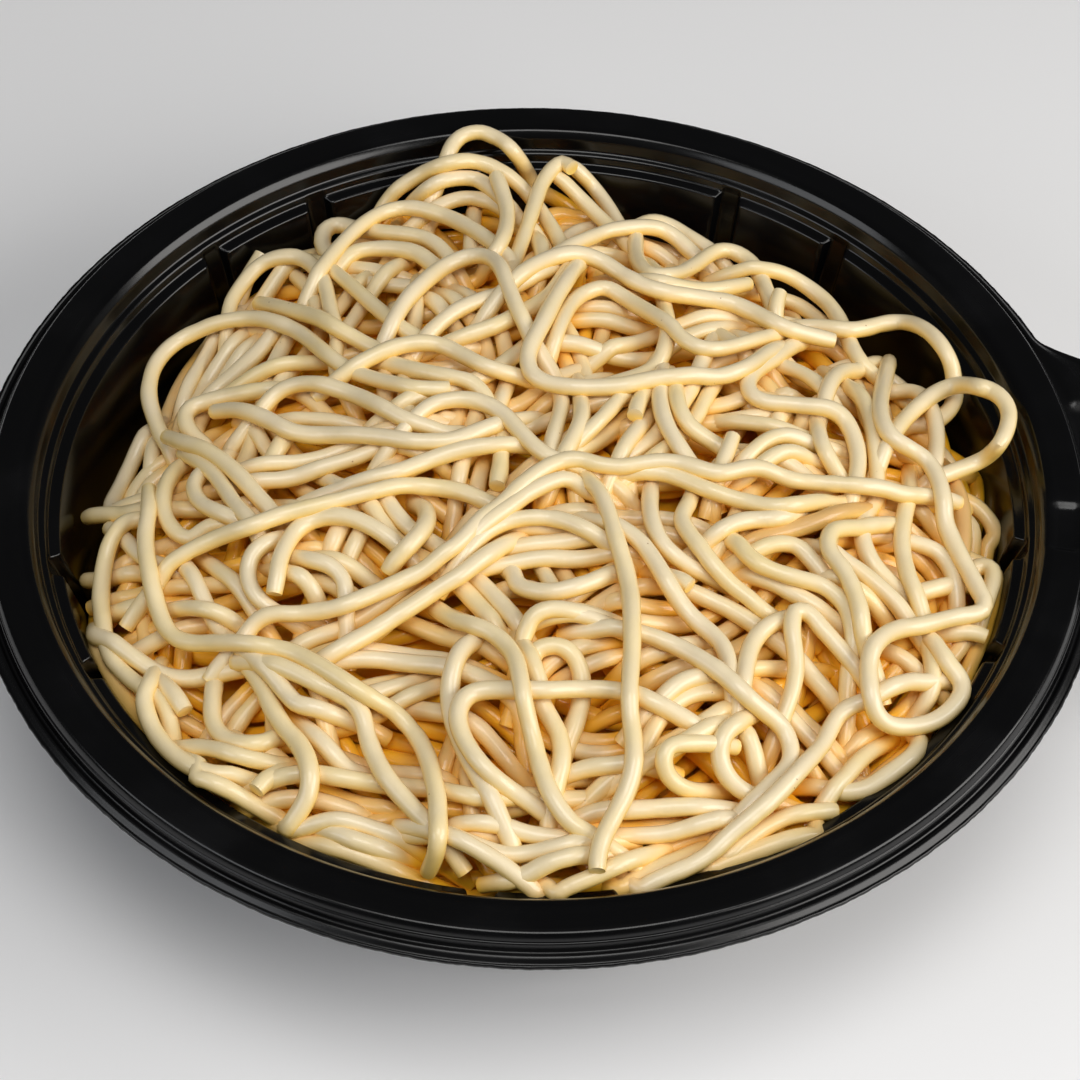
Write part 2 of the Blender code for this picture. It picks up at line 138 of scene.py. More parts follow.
# shader maths
class Wire:                           # a socket that Python operators work on
    def __init__(self, tree, socket=None):
        self.tree, self.socket = tree, socket

    def node(self, kind, settings=None, inputs=None, output=None):
        made = self.tree.nodes.new(kind)
        for name, value in (settings or {}).items():
            setattr(made, name, value)
        for key, value in (inputs or {}).items():
            socket = made.inputs[key] if isinstance(key, int) else self.live(made.inputs, key)
            if isinstance(value, Wire):
                self.tree.links.new(value.socket, socket)
            else:
                socket.default_value = value
        return Wire(self.tree, self.live(made.outputs, output))

    @staticmethod
    def live(sockets, name):
        return next(s for s in sockets if s.enabled and name in (None, s.name))

    def maths(self, operation, *values):
        return self.node("ShaderNodeMath", {"operation": operation}, dict(enumerate(values)))

    def __add__(self, other):
        return self.maths("ADD", self, other)

    def __mul__(self, other):
        return self.maths("MULTIPLY", self, other)

    def __sub__(self, other):
        return self.maths("SUBTRACT", self, other)

    def __rsub__(self, other):
        return self.maths("SUBTRACT", other, self)

    __radd__, __rmul__ = __add__, __mul__

    def ramp(self, low, high):        # 0 at low, 1 at high, eased between
        return self.node("ShaderNodeMapRange", {"interpolation_type": "SMOOTHSTEP"},
                         {"Value": self, "From Min": low, "From Max": high})

    def mix(self, first, second):     # between two colours by this socket
        return self.node("ShaderNodeMix", {"data_type": "RGBA"},
                         {"Factor": self, "A": first, "B": second})


def newMaterial(name, constants):     # a material, a starting wire and its shader, constants set
    material = bpy.data.materials.new(name)
    material.use_nodes = True
    tree = material.node_tree
    shader = tree.nodes["Principled BSDF"]
    for key, value in constants.items():
        shader.inputs[key].default_value = value
    return material, Wire(tree), shader


def plug(wire, shader, name):
    wire.tree.links.new(wire.socket, shader.inputs[name])


def noise(wire, spot, scale, detail, **settings):
    inputs = {"Vector": spot, "Scale": scale, "Detail": detail}
    return wire.node("ShaderNodeTexNoise", settings, inputs, "Fac")


def plugBump(height, shader, relief):
    inputs = {"Height": height, "Strength": relief["strength"], "Distance": relief["distance"]}
    plug(height.node("ShaderNodeBump", inputs=inputs), shader, "Normal")


# the floor under the tray
floorLook = {"half": 3.0, "colour": (0.85, 0.85, 0.86, 1.0), "roughness": 0.75}     # half a side in metres


def makeFloor():
    half = floorLook["half"]
    mesh = bpy.data.meshes.new("floor")
    corners = [(-half, -half, 0), (half, -half, 0), (half, half, 0), (-half, half, 0)]
    mesh.from_pydata(corners, [], [(0, 1, 2, 3)])
    floor = addObject("floor", mesh)
    material, wire, shader = newMaterial("paleFloor", {"Roughness": floorLook["roughness"],
                                                      "Base Color": floorLook["colour"]})
    mesh.materials.append(material)


makeFloor()


# the tray, a lathe whose outline changes a little round the rim
tray = {
    "rim": rimHeight / mm,
    "sheet": 0.9,
    "draft": 14.0,                    # degrees
    "fillet": 12.0,                   # between wall and floor
    "ledge": 81.0, "shoulder": 86.0, "crease": 92.0, "trim": 96.05,         # radii
    "ledgeDrop": 5.7,
    "edgeSoftness": 0.35,             # how far a corner is rounded back
    "cornerMost": 0.4,                # of a side, at most
    "aroundStep": 0.5, "leastStep": 0.15,                   # degrees
    "slopeSteps": 5,
    "ragged": 0.10,                   # unevenness of the cut trim edge
    "raggedWaves": ((20, 60), (90, 160), (200, 340)),       # least and most of them in a turn
    "seed": 5,
}
flute = {"pairs": 5, "first": -14.8, "halfGap": 8.1, "mouth": 1.85, "floor": 1.05, "foot": 1.0}
tab = {"middle": 4.0, "half": 19.5, "slope": 8.0, "reach": 9.0}
recess = {"middle": 4.5, "half": 9.0, "slope": 1.5, "depth": 1.2}
dent = {"middle": -5.9, "half": 3.7, "slope": 1.1, "depth": 0.8}

# Corners from the ledge over the flange and back under it: what the radius is measured from, how far past
# it, the drop, and what adds to them: mm for a groove, and shares of the tab, edge, thumb recess and dent.
rimCorners = [
    ("ledge", 0.0, 5.7, {"groove": 2.1}), ("ledge", 0.0, 5.4, {"groove": 2.2, "least": 82.9}),
    ("ledge", 2.3, 3.9, {}), ("ledge", 3.4, 3.6, {}), ("ledge", 3.9, 1.4, {}), ("shoulder", 0.0, 0.1, {}),
    ("shoulder", 1.8, 0.0, {"dent": 1}), ("crease", -1.4, 0.0, {"dent": 1}), ("crease", 0.0, 0.0, {}),
    ("crease", 0.55, 0.9, {}), ("crease", 0.75, 1.45, {}), ("crease", 1.0, 1.5, {}),
    ("crease", 1.35, 2.85, {}), ("crease", 1.8, 3.0, {"tab": 0.1, "thumb": 0.5}),
    ("crease", 2.15, 2.6, {"tab": 0.2, "thumb": 1}), ("crease", 2.6, 2.65, {"tab": 0.4, "thumb": 1}),
    ("crease", 3.4, 3.4, {"tab": 0.75, "thumb": 1}), ("crease", 3.6, 3.3, {"tab": 0.82, "thumb": 0.6}),
    ("trim", -0.1, 3.45, {"tab": 1, "edge": 1}), ("trim", 0.0, 3.8, {"tab": 1, "edge": 1}),
    ("trim", -0.25, 4.4, {"tab": 1, "edge": 1}), ("trim", -1.0, 4.3, {"tab": 0.8, "thumb": 1}),
    ("crease", 0.8, 3.9, {"thumb": 1}), ("crease", -0.2, 1.1, {}), ("crease", -1.4, 1.0, {"dent": 1}),
    ("shoulder", 1.3, 1.0, {"dent": 1}), ("shoulder", 0.4, 2.2, {}), ("ledge", 4.1, 5.0, {}),
    ("ledge", 2.7, 6.6, {"groove": 0.6}), ("ledge", 0.9, 6.8, {"groove": 2.2}),
]


def smooth(share):
    share = np.clip(share, 0.0, 1.0)
    return share * share * (3.0 - 2.0 * share)


def apart(azimuth, middle):
    return np.abs((azimuth - middle + 180.0) % 360.0 - 180.0)


def fluteMiddles():
    pairs = flute["first"] + 360.0 / flute["pairs"] * np.arange(flute["pairs"])
    return np.concatenate([pairs - flute["halfGap"], pairs + flute["halfGap"]])


def fluteShare(azimuth):
    nearest = np.min([apart(azimuth, middle) for middle in fluteMiddles()], axis=0)
    return 1.0 - smooth((nearest - flute["floor"]) / (flute["mouth"] - flute["floor"]))


def bump(shape, azimuth):             # 1 inside an azimuth range, falling over its slope
    return smooth((shape["half"] - apart(azimuth, shape["middle"])) / shape["slope"])


def wallRadius(drop):
    return tray["ledge"] - (drop - tray["ledgeDrop"]) * math.tan(math.radians(tray["draft"]))


def filletArc(offset, steps=8):       # (radius, drop) points from the floor up to the wall
    turned = math.pi / 2 - math.radians(tray["draft"])
    floorDrop = tray["rim"] - tray["sheet"]
    middle = wallRadius(floorDrop) - tray["fillet"] * math.tan(turned / 2)
    size = tray["fillet"] + offset
    turns = turned * np.arange(steps + 1) / steps
    return [(middle + size * math.sin(t), floorDrop - tray["fillet"] + size * math.cos(t)) for t in turns]


def trayOutline(azimuth, edge):       # (radius, drop) corners from the floor's rim, over the flange and back
    groove = fluteShare(azimuth)
    wider = {"groove": groove, "tab": tab["reach"] * bump(tab, azimuth), "edge": edge}
    deeper = {"thumb": recess["depth"] * bump(recess, azimuth), "dent": dent["depth"] * bump(dent, azimuth)}
    rim = []
    for start, past, drop, adds in rimCorners:
        radius = tray[start] + past + sum(adds.get(key, 0.0) * size for key, size in wider.items())
        drop = drop + sum(adds.get(key, 0.0) * size for key, size in deeper.items())
        rim.append((np.maximum(radius, adds.get("least", 0.0)), drop))
    foot, underFoot = filletArc(0.0), filletArc(tray["sheet"])
    top, underTop = ((radius + flute["foot"] * groove, drop) for radius, drop in (foot[-1], underFoot[-1]))
    corners = foot[:-1] + [top] + rim + [underTop] + underFoot[-2::-1]
    blank = np.zeros_like(azimuth)
    return np.array([[blank + radius, blank + drop] for radius, drop in corners]).transpose(2, 0, 1)


def roundCorners(outline, softness, steps=3):   # each corner becomes a short curve
    last, here, following = outline[:, :-2], outline[:, 1:-1], outline[:, 2:]
    back, ahead = last - here, following - here
    backLength = np.linalg.norm(back, axis=2, keepdims=True)
    aheadLength = np.linalg.norm(ahead, axis=2, keepdims=True)
    start = here + back / backLength * np.minimum(softness, tray["cornerMost"] * backLength)
    end = here + ahead / aheadLength * np.minimum(softness, tray["cornerMost"] * aheadLength)
    shares = np.linspace(0.0, 1.0, steps)[None, None, :, None]
    curve = (start[:, :, None] * (1 - shares) ** 2 + here[:, :, None] * 2 * shares * (1 - shares)
             + end[:, :, None] * shares ** 2)
    middle = curve.reshape(len(outline), -1, 2)
    return np.concatenate([outline[:, :1], middle, outline[:, -1:]], axis=1)


def trayAzimuths():
    edges = []
    for middle in fluteMiddles():
        slope = np.linspace(flute["floor"], flute["mouth"], tray["slopeSteps"])
        edges += [middle + side * slope for side in (-1, 1)]
    for shape in (recess, dent):
        slope = np.linspace(shape["half"] - shape["slope"], shape["half"], tray["slopeSteps"])
        edges += [shape["middle"] + side * slope for side in (-1, 1)]
    fine = np.concatenate(edges) % 360.0
    even = np.arange(0.0, 360.0, tray["aroundStep"])
    even = even[[np.min(apart(fine, angle)) > tray["leastStep"] for angle in even]]
    return np.sort(np.concatenate([fine, even]))


def latheMesh(name, azimuths, outline):         # rings of a lathe, its two ends closed by a middle point
    count, length = outline.shape[:2]
    turns = np.radians(azimuths)[:, None]
    radius, height = outline[:, :, 0], tray["rim"] - outline[:, :, 1]
    points = np.stack([radius * np.cos(turns), radius * np.sin(turns), height], axis=2).reshape(-1, 3)
    ring, step = np.meshgrid(np.arange(count), np.arange(length - 1), indexing="ij")
    following = (ring + 1) % count
    quads = np.stack([ring * length + step, ring * length + step + 1,
                      following * length + step + 1, following * length + step], axis=2).reshape(-1, 4)
    bottom, top = len(points), len(points) + 1
    points = np.concatenate([points, [[0, 0, height[0, -1]], [0, 0, height[0, 0]]]]) * mm
    index = np.arange(count)
    caps = [(top, i * length, (i + 1) % count * length) for i in index]
    caps += [(bottom, (i + 1) % count * length + length - 1, i * length + length - 1) for i in index]
    mesh = bpy.data.meshes.new(name)
    mesh.from_pydata(points.tolist(), [], quads[:, ::-1].tolist() + [c[::-1] for c in caps])
    mesh.validate()
    mesh.shade_smooth()
    return mesh


plasticLook = {
    "constants": {"IOR": 1.49, "Specular IOR Level": 0.42},
    "clean": (0.0014, 0.0014, 0.0016, 1.0), "dusty": (0.0035, 0.0035, 0.0040, 1.0),
    "dustScale": 45.0, "dust": (0.45, 0.8),
    "ringScales": (900.0, 700.0), "grainScale": 1800.0,     # per metre
    "band": ((0.0865, 0.0875), (0.0913, 0.0922)),           # radii in metres where it starts and ends
    "flange": (0.0925, 0.0940),
    "roughness": {"plain": 0.15, "band": 0.06, "flange": 0.08, "dust": 0.08, "rings": 0.05},
    "relief": {"rings": 0.6, "grain": 0.25, "strength": 0.10, "distance": 0.0002},
}


def blackPlastic():
    look, rough, relief = plasticLook, plasticLook["roughness"], plasticLook["relief"]
    material, wire, shader = newMaterial("blackPlastic", look["constants"])
    spot = wire.node("ShaderNodeTexCoord", output="Object")
    parts = wire.node("ShaderNodeSeparateXYZ", inputs={"Vector": spot}).socket.node
    x, y, z = (Wire(wire.tree, parts.outputs[name]) for name in "XYZ")
    square = x * x + y * y
    radius = square.maths("SQRT", square)
    ringSpot = wire.node("ShaderNodeCombineXYZ", inputs={"X": radius * look["ringScales"][0],
                                                         "Y": z * look["ringScales"][1]})
    rings = noise(wire, ringSpot, 1.0, 3.0, noise_dimensions="2D")
    cloudy = noise(wire, spot, look["dustScale"], 4.0)
    grain = noise(wire, spot, look["grainScale"], 2.0)
    starts, ends = look["band"]
    band = radius.ramp(*starts) * (1 - radius.ramp(*ends))
    flange = radius.ramp(*look["flange"])
    dusty = cloudy.ramp(*look["dust"])
    plug(dusty.mix(look["clean"], look["dusty"]), shader, "Base Color")
    plug(rough["plain"] + band * rough["band"] + flange * rough["flange"] + dusty * rough["dust"]
         + rings * rough["rings"], shader, "Roughness")
    plugBump(rings * relief["rings"] + grain * relief["grain"], shader, relief)
    return material


def makeTray():
    rng = np.random.default_rng(tray["seed"])
    azimuths = trayAzimuths()
    waves = [(rng.integers(low, high), rng.uniform(0, 2 * math.pi)) for low, high in tray["raggedWaves"]]
    turns = np.radians(azimuths)
    edge = sum(np.sin(turns * count + phase) for count, phase in waves) * tray["ragged"] / len(waves)
    outline = roundCorners(trayOutline(azimuths, edge - tray["ragged"]), tray["edgeSoftness"])
    piece = addObject("tray_shell", latheMesh("tray_shell", azimuths, outline))
    piece.data.materials.append(blackPlastic())
    return piece


trayShell = makeTray()
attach(trayShell, "root")
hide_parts("tray")
print("tray: %d faces" % len(trayShell.data.polygons))


# the heap's form
heap = {
    "crown": 7.2,                     # highest point over the crease
    "edgeDrop": 7.0,                  # the heap's shoulder lies this far below it
    "skirtSlope": 1.15,
    "power": 2.6,
    "lump": 1.3, "lumpLength": 47.0, "lumpSkew": (0.4, 0.3), "lumpPhase": 1.0,
    "shoulder": [(-150, 77.0), (-90, 79.0), (-40, 79.0), (-5, 76.0), (30, 68.0),
                 (60, 66.0), (85, 70.0), (105, 76.0), (130, 72.0), (165, 67.0)],   # azimuth, radius
    "deepest": -60.0,                 # under everything
}


def shoulderRadius(x, y):
    azimuth = np.degrees(np.arctan2(y, x)) % 360.0
    corners = sorted((a % 360.0, r) for a, r in heap["shoulder"])
    corners.append((corners[0][0] + 360.0, corners[0][1]))
    angles, radii = np.array(corners).T
    turned = np.where(azimuth < angles[0], azimuth + 360.0, azimuth)
    place = np.clip(np.searchsorted(angles, turned, side="right") - 1, 0, len(angles) - 2)
    share = smooth((turned - angles[place]) / (angles[place + 1] - angles[place]))
    return radii[place] + (radii[place + 1] - radii[place]) * share


def heapHeight(x, y):
    radius = np.hypot(x, y)
    edge = shoulderRadius(x, y)
    share = np.minimum(radius / edge, 1.0)
    wave = 2.0 * math.pi / heap["lumpLength"]
    skewX, skewY = heap["lumpSkew"]
    lump = (heap["lump"] * np.sin(wave * (x + skewX * y))
            * np.cos(wave * (y - skewY * x) + heap["lumpPhase"]))
    rise = (heap["crown"] + heap["edgeDrop"] + lump) * (1.0 - share ** heap["power"])
    return rise - heap["edgeDrop"] - np.maximum(radius - edge, 0.0) * heap["skirtSlope"]


trayLine = {                          # (radius, drop) that strands lie on, simpler than the tray's outline
    "fillet": [(56.0, 44.1), (62.0, 42.6), (67.0, 38.6)],
    "wallFoot": 70.6,
    "rim": [(81.0, 5.7), (82.9, 5.4), (83.3, 3.9), (84.4, 3.6), (84.9, 1.4), (86.0, 0.1), (92.0, 0.0),
            (93.3, 2.8), (96.2, 3.8), (97.0, 45.0)],
}


# strands are laid one after another on a height map of what is there already
noodle = {
    "radius": 1.5,
    "step": 2.0, "pressParts": 3,     # between a strand's points, and parts of it when pressed into the bed
    "bend": 11.0,                     # tightest sag over a gap
    "coreSunk": 10.0,                 # the core's surface under the heap's
    "coreReach": 82.0,
    "thickest": 1.15,                 # thickest strand, as a share of the radius
    "fillTo": 6.2,                    # loose filling stops this far under the heap's surface
    "cell": 0.75, "blurs": (4.0, 3.0),                      # of the height map
    "half": 102.0,
    "seed": 21,
}


def wallDrop(radius):
    return tray["ledgeDrop"] + (tray["ledge"] - radius) / math.tan(math.radians(tray["draft"]))


def traySurface(radius):
    drops = np.array([*trayLine["fillet"], (trayLine["wallFoot"], wallDrop(trayLine["wallFoot"])),
                      *trayLine["rim"]])
    return -np.interp(radius, drops[:, 0], drops[:, 1])


axis = np.arange(-noodle["half"], noodle["half"] + noodle["cell"], noodle["cell"])
mapX, mapY = np.meshgrid(axis, axis, indexing="ij")
mapRadius = np.hypot(mapX, mapY)
coreHeight = heapHeight(mapX, mapY) - noodle["coreSunk"]
coreHeight = np.where(mapRadius < noodle["coreReach"], coreHeight, heap["deepest"])
bed = np.maximum(traySurface(mapRadius), coreHeight)
cellReach = int(noodle["radius"] * noodle["thickest"] / noodle["cell"]) + 1
nearby = range(-cellReach, cellReach + 1)
cellOffsets = np.array([(i, j) for i in nearby for j in nearby])


def cellsAt(spots, offsets=0):
    cells = np.round((spots[..., :2] + noodle["half"]) / noodle["cell"]).astype(int) + offsets
    return np.clip(cells, 0, len(axis) - 1)


def footprint(spots, radius):         # cells under each spot, and the skin's height over its middle there
    cells = cellsAt(spots[:, None], cellOffsets)
    awayX, awayY = axis[cells[..., 0]] - spots[:, None, 0], axis[cells[..., 1]] - spots[:, None, 1]
    gap = radius ** 2 - awayX ** 2 - awayY ** 2
    return cells, np.sqrt(np.maximum(gap, 0.0)), gap > 0


def restingHeights(spots, radius, floorLine=heap["deepest"], bend=None, rounds=60):
    cells, skin, inside = footprint(spots, radius)
    support = np.where(inside, bed[cells[..., 0], cells[..., 1]] + skin, heap["deepest"]).max(axis=1)
    support = np.maximum(support, floorLine)
    step = np.linalg.norm(np.diff(spots[:, :2], axis=0), axis=1).mean()
    sag = step ** 2 / (2.0 * (bend or noodle["bend"]))
    heights = support.copy()
    for _ in range(rounds):
        heights[1:-1] = np.maximum(support[1:-1], (heights[:-2] + heights[2:]) / 2 - sag)
        heights[0] = max(support[0], 2 * heights[1] - heights[2] - 2 * sag)
        heights[-1] = max(support[-1], 2 * heights[-2] - heights[-3] - 2 * sag)
    return softened(heights)


def softened(line, rounds=2):
    for _ in range(rounds):
        line = np.concatenate([line[:1], (line[:-2] + 2 * line[1:-1] + line[2:]) / 4, line[-1:]])
    return line


def evenly(route, step):              # the same route with points a step apart
    lengths = np.concatenate([[0.0], np.cumsum(np.linalg.norm(np.diff(route, axis=0), axis=1))])
    places = np.linspace(0.0, lengths[-1], max(4, round(lengths[-1] / step) + 1))
    return np.stack([np.interp(places, lengths, column) for column in route.T], axis=1)


def press(route, radius):             # the strand becomes part of the bed
    fine = evenly(route, noodle["step"] / noodle["pressParts"])
    cells, skin, inside = footprint(fine, radius)
    top = np.where(inside, fine[:, 2:3] + skin, heap["deepest"])
    np.maximum.at(bed, (cells[..., 0].ravel(), cells[..., 1].ravel()), top.ravel())


def splinePoints(corners, perSpan=12):          # a smooth line through given points
    corners = np.asarray(corners, float)
    ends = np.concatenate([[2 * corners[0] - corners[1]], corners, [2 * corners[-1] - corners[-2]]])
    line = []
    for a, b, c, d in zip(ends, ends[1:], ends[2:], ends[3:]):
        t = np.linspace(0.0, 1.0, perSpan, endpoint=False)[:, None]
        line.append(0.5 * (2 * b + (c - a) * t + (2 * a - 5 * b + 4 * c - d) * t ** 2
                           + (3 * b - a - 3 * c + d) * t ** 3))
    return np.concatenate(line + [corners[-1:]])


strands = []                          # (route, radius, 1 for a strand coloured darker brown)
sinking = {"points": 4, "fall": 0.09, "clear": 0.3}     # points added, how fast they sink, air to the wall
crowd = {"from": 6.4, "top": 7.8}     # strands that cross at the crown press together between these heights


def roomRadius(height):               # how far out the tray leaves room at a height over the crease
    return np.where(height < -tray["ledgeDrop"], wallRadius(-height), tray["ledge"])


def sunkEnds(route, radius, kept=()):  # an end that isn't kept runs on down between its neighbours
    for side in ("start", "end"):
        if side in kept:
            continue
        line = route if side == "end" else route[::-1]
        course = line[-1, :2] - line[-3, :2]
        course /= np.linalg.norm(course)
        count = np.arange(1, sinking["points"] + 1)
        added = np.column_stack([line[-1, :2] + course * noodle["step"] * count[:, None],
                                 np.full(len(count), line[-1, 2])])
        line = np.concatenate([line, added])
        reach = min(len(line), 2 * len(count))
        line[-reach:, 2] -= sinking["fall"] * np.arange(1, reach + 1) ** 2
        last = line[-len(count):]
        limit = roomRadius(last[:, 2]) - radius - sinking["clear"]
        last[:, :2] *= np.minimum(1.0, limit / np.hypot(last[:, 0], last[:, 1]))[:, None]
        route = line if side == "end" else line[::-1]
    return route


def keepStrand(route, radius, darkened):
    over = np.maximum(0.0, route[:, 2] - crowd["from"])
    span = crowd["top"] - crowd["from"]
    route[:, 2] += span * (1.0 - np.exp(-over / span)) - over
    press(route, radius)
    strands.append((route, radius, darkened))


wander = {
    "lengths": (70.0, 190.0),
    "waves": ((60.0, 140.0, 0.030), (30.0, 55.0, 0.026)),   # shortest and longest wave, curvature
    "hairpinChance": 0.3, "hairpin": (0.08, 0.15), "hairpinLength": 9.0,
    "tries": 10, "rounds": 240,
    "steer": 0.13,                    # curvature that turns a strand back at the edge
    "margin": 9.0,
    "home": (0.3, 0.6),               # cosine to the middle at which steering ends, and what it eases over
    "apex": 0.8,                      # farthest place of a hairpin, as a share of half the strand
    "waveSizes": (0.3, 1.2),
    "over": 1.0, "farthest": 78.2, "slack": 1.5, "wall": 78.6,              # how far out it may run
    "lanes": (1, 4), "pitch": 3.25, "drift": 0.05, "sizes": (0.92, 1.05),
    "shut": -1.7,                     # a strand ends where the heap is this much too high already
    "shortest": 13,                   # points
    "enough": 1.6, "percentile": 95,  # lack that is left in the emptiest twentieth
    "lackMost": 12.0, "lackPower": 3, "roomMost": 6.0,
}


def wanderRoutes(rng, starts):        # candidate routes, walked both ways from their starting spots
    tries = len(starts)
    steps = int(rng.uniform(*wander["lengths"]) / noodle["step"] / 2)
    heading = rng.uniform(0, 2 * math.pi, tries)
    hairpin = rng.uniform(*wander["hairpin"], tries) * rng.choice([-1, 1], tries)
    hairpin *= rng.uniform(0, 1, tries) < wander["hairpinChance"]
    apex = rng.uniform(-wander["apex"], wander["apex"], tries) * steps * noodle["step"]
    waves = [(2 * math.pi / rng.uniform(low, high, tries), rng.uniform(0, 2 * math.pi, tries),
              size * rng.uniform(*wander["waveSizes"], tries)) for low, high, size in wander["waves"]]
    halves = []
    for side in (1, -1):
        x, y = starts.T
        course = heading + (0.0 if side == 1 else math.pi)
        half = []
        for index in range(steps):
            half.append((x, y))
            along = side * index * noodle["step"]
            bend = hairpin * np.exp(-((along - apex) / wander["hairpinLength"]) ** 2)
            bend = side * (bend + sum(size * np.sin(rate * along + phase) for rate, phase, size in waves))
            limit = np.minimum(shoulderRadius(x, y) + wander["over"], wander["farthest"])
            near = smooth((np.hypot(x, y) - limit + wander["margin"]) / wander["margin"])
            home = np.arctan2(-y, -x) - course
            push = (np.where(np.sin(home) >= 0, 1.0, -1.0) * wander["steer"]
                    * smooth((wander["home"][0] - np.cos(home)) / wander["home"][1]))
            course = course + (bend * (1 - near) + push * near) * noodle["step"]
            x, y = x + noodle["step"] * np.cos(course), y + noodle["step"] * np.sin(course)
            shrink = np.minimum(1.0, (limit + wander["slack"]) / np.maximum(np.hypot(x, y), 1e-6))
            x, y = x * shrink, y * shrink
        halves.append(np.array(half).transpose(2, 0, 1))
    return np.concatenate([halves[1][:, :0:-1], halves[0]], axis=1)


def sample(field, spots):
    cells = cellsAt(spots)
    return field[cells[..., 0], cells[..., 1]]


def sideways(route, offset):          # a neighbour lane of a route
    along = np.gradient(route, axis=0)
    along /= np.linalg.norm(along, axis=1, keepdims=True) + 1e-9
    return route + np.stack([-along[:, 1], along[:, 0]], axis=1) * offset[:, None]


def openPart(room, middle):           # the run round the middle where there is still room
    shut = np.flatnonzero(room < wander["shut"])
    before, after = shut[shut < middle], shut[shut >= middle]
    return before[-1] + 1 if len(before) else 0, after[0] if len(after) else len(room)


def fillHeap(rng):                    # loose bundles start where the heap is lowest against its form
    target = heapHeight(mapX, mapY) - noodle["fillTo"]
    spots = np.argwhere(mapRadius < shoulderRadius(mapX, mapY) + wander["over"])
    for _ in range(wander["rounds"]):
        lack = (target - bed)[spots[:, 0], spots[:, 1]]
        if np.percentile(lack, wander["percentile"]) < wander["enough"]:
            break
        weight = np.clip(lack, 0.0, wander["lackMost"]) ** wander["lackPower"]
        chosen = spots[rng.choice(len(spots), wander["tries"], p=weight / weight.sum())]
        routes = wanderRoutes(rng, axis[chosen])
        room = sample(target - bed, routes)
        route = routes[np.argmax(np.clip(room, -wander["roomMost"], wander["roomMost"]).mean(axis=1))]
        lanes = rng.integers(*wander["lanes"])
        drift = np.cumsum(rng.normal(0, wander["drift"], (lanes, len(route))), axis=1)
        for lane in range(lanes):
            offset = (lane - (lanes - 1) / 2) * wander["pitch"] + softened(drift[lane], rounds=6)
            plan = sideways(route, offset)
            away = np.maximum(np.hypot(plan[:, 0], plan[:, 1]), 1e-6)
            plan *= np.minimum(1.0, wander["wall"] / away)[:, None]
            low, high = openPart(softened(sample(target - bed, plan), rounds=3), len(plan) // 2)
            if high - low < wander["shortest"]:
                continue
            plan = evenly(plan[low:high], noodle["step"])
            size = noodle["radius"] * rng.uniform(*wander["sizes"])
            keepStrand(sunkEnds(np.column_stack([plan, restingHeights(plan, size)]), size), size, 0.0)


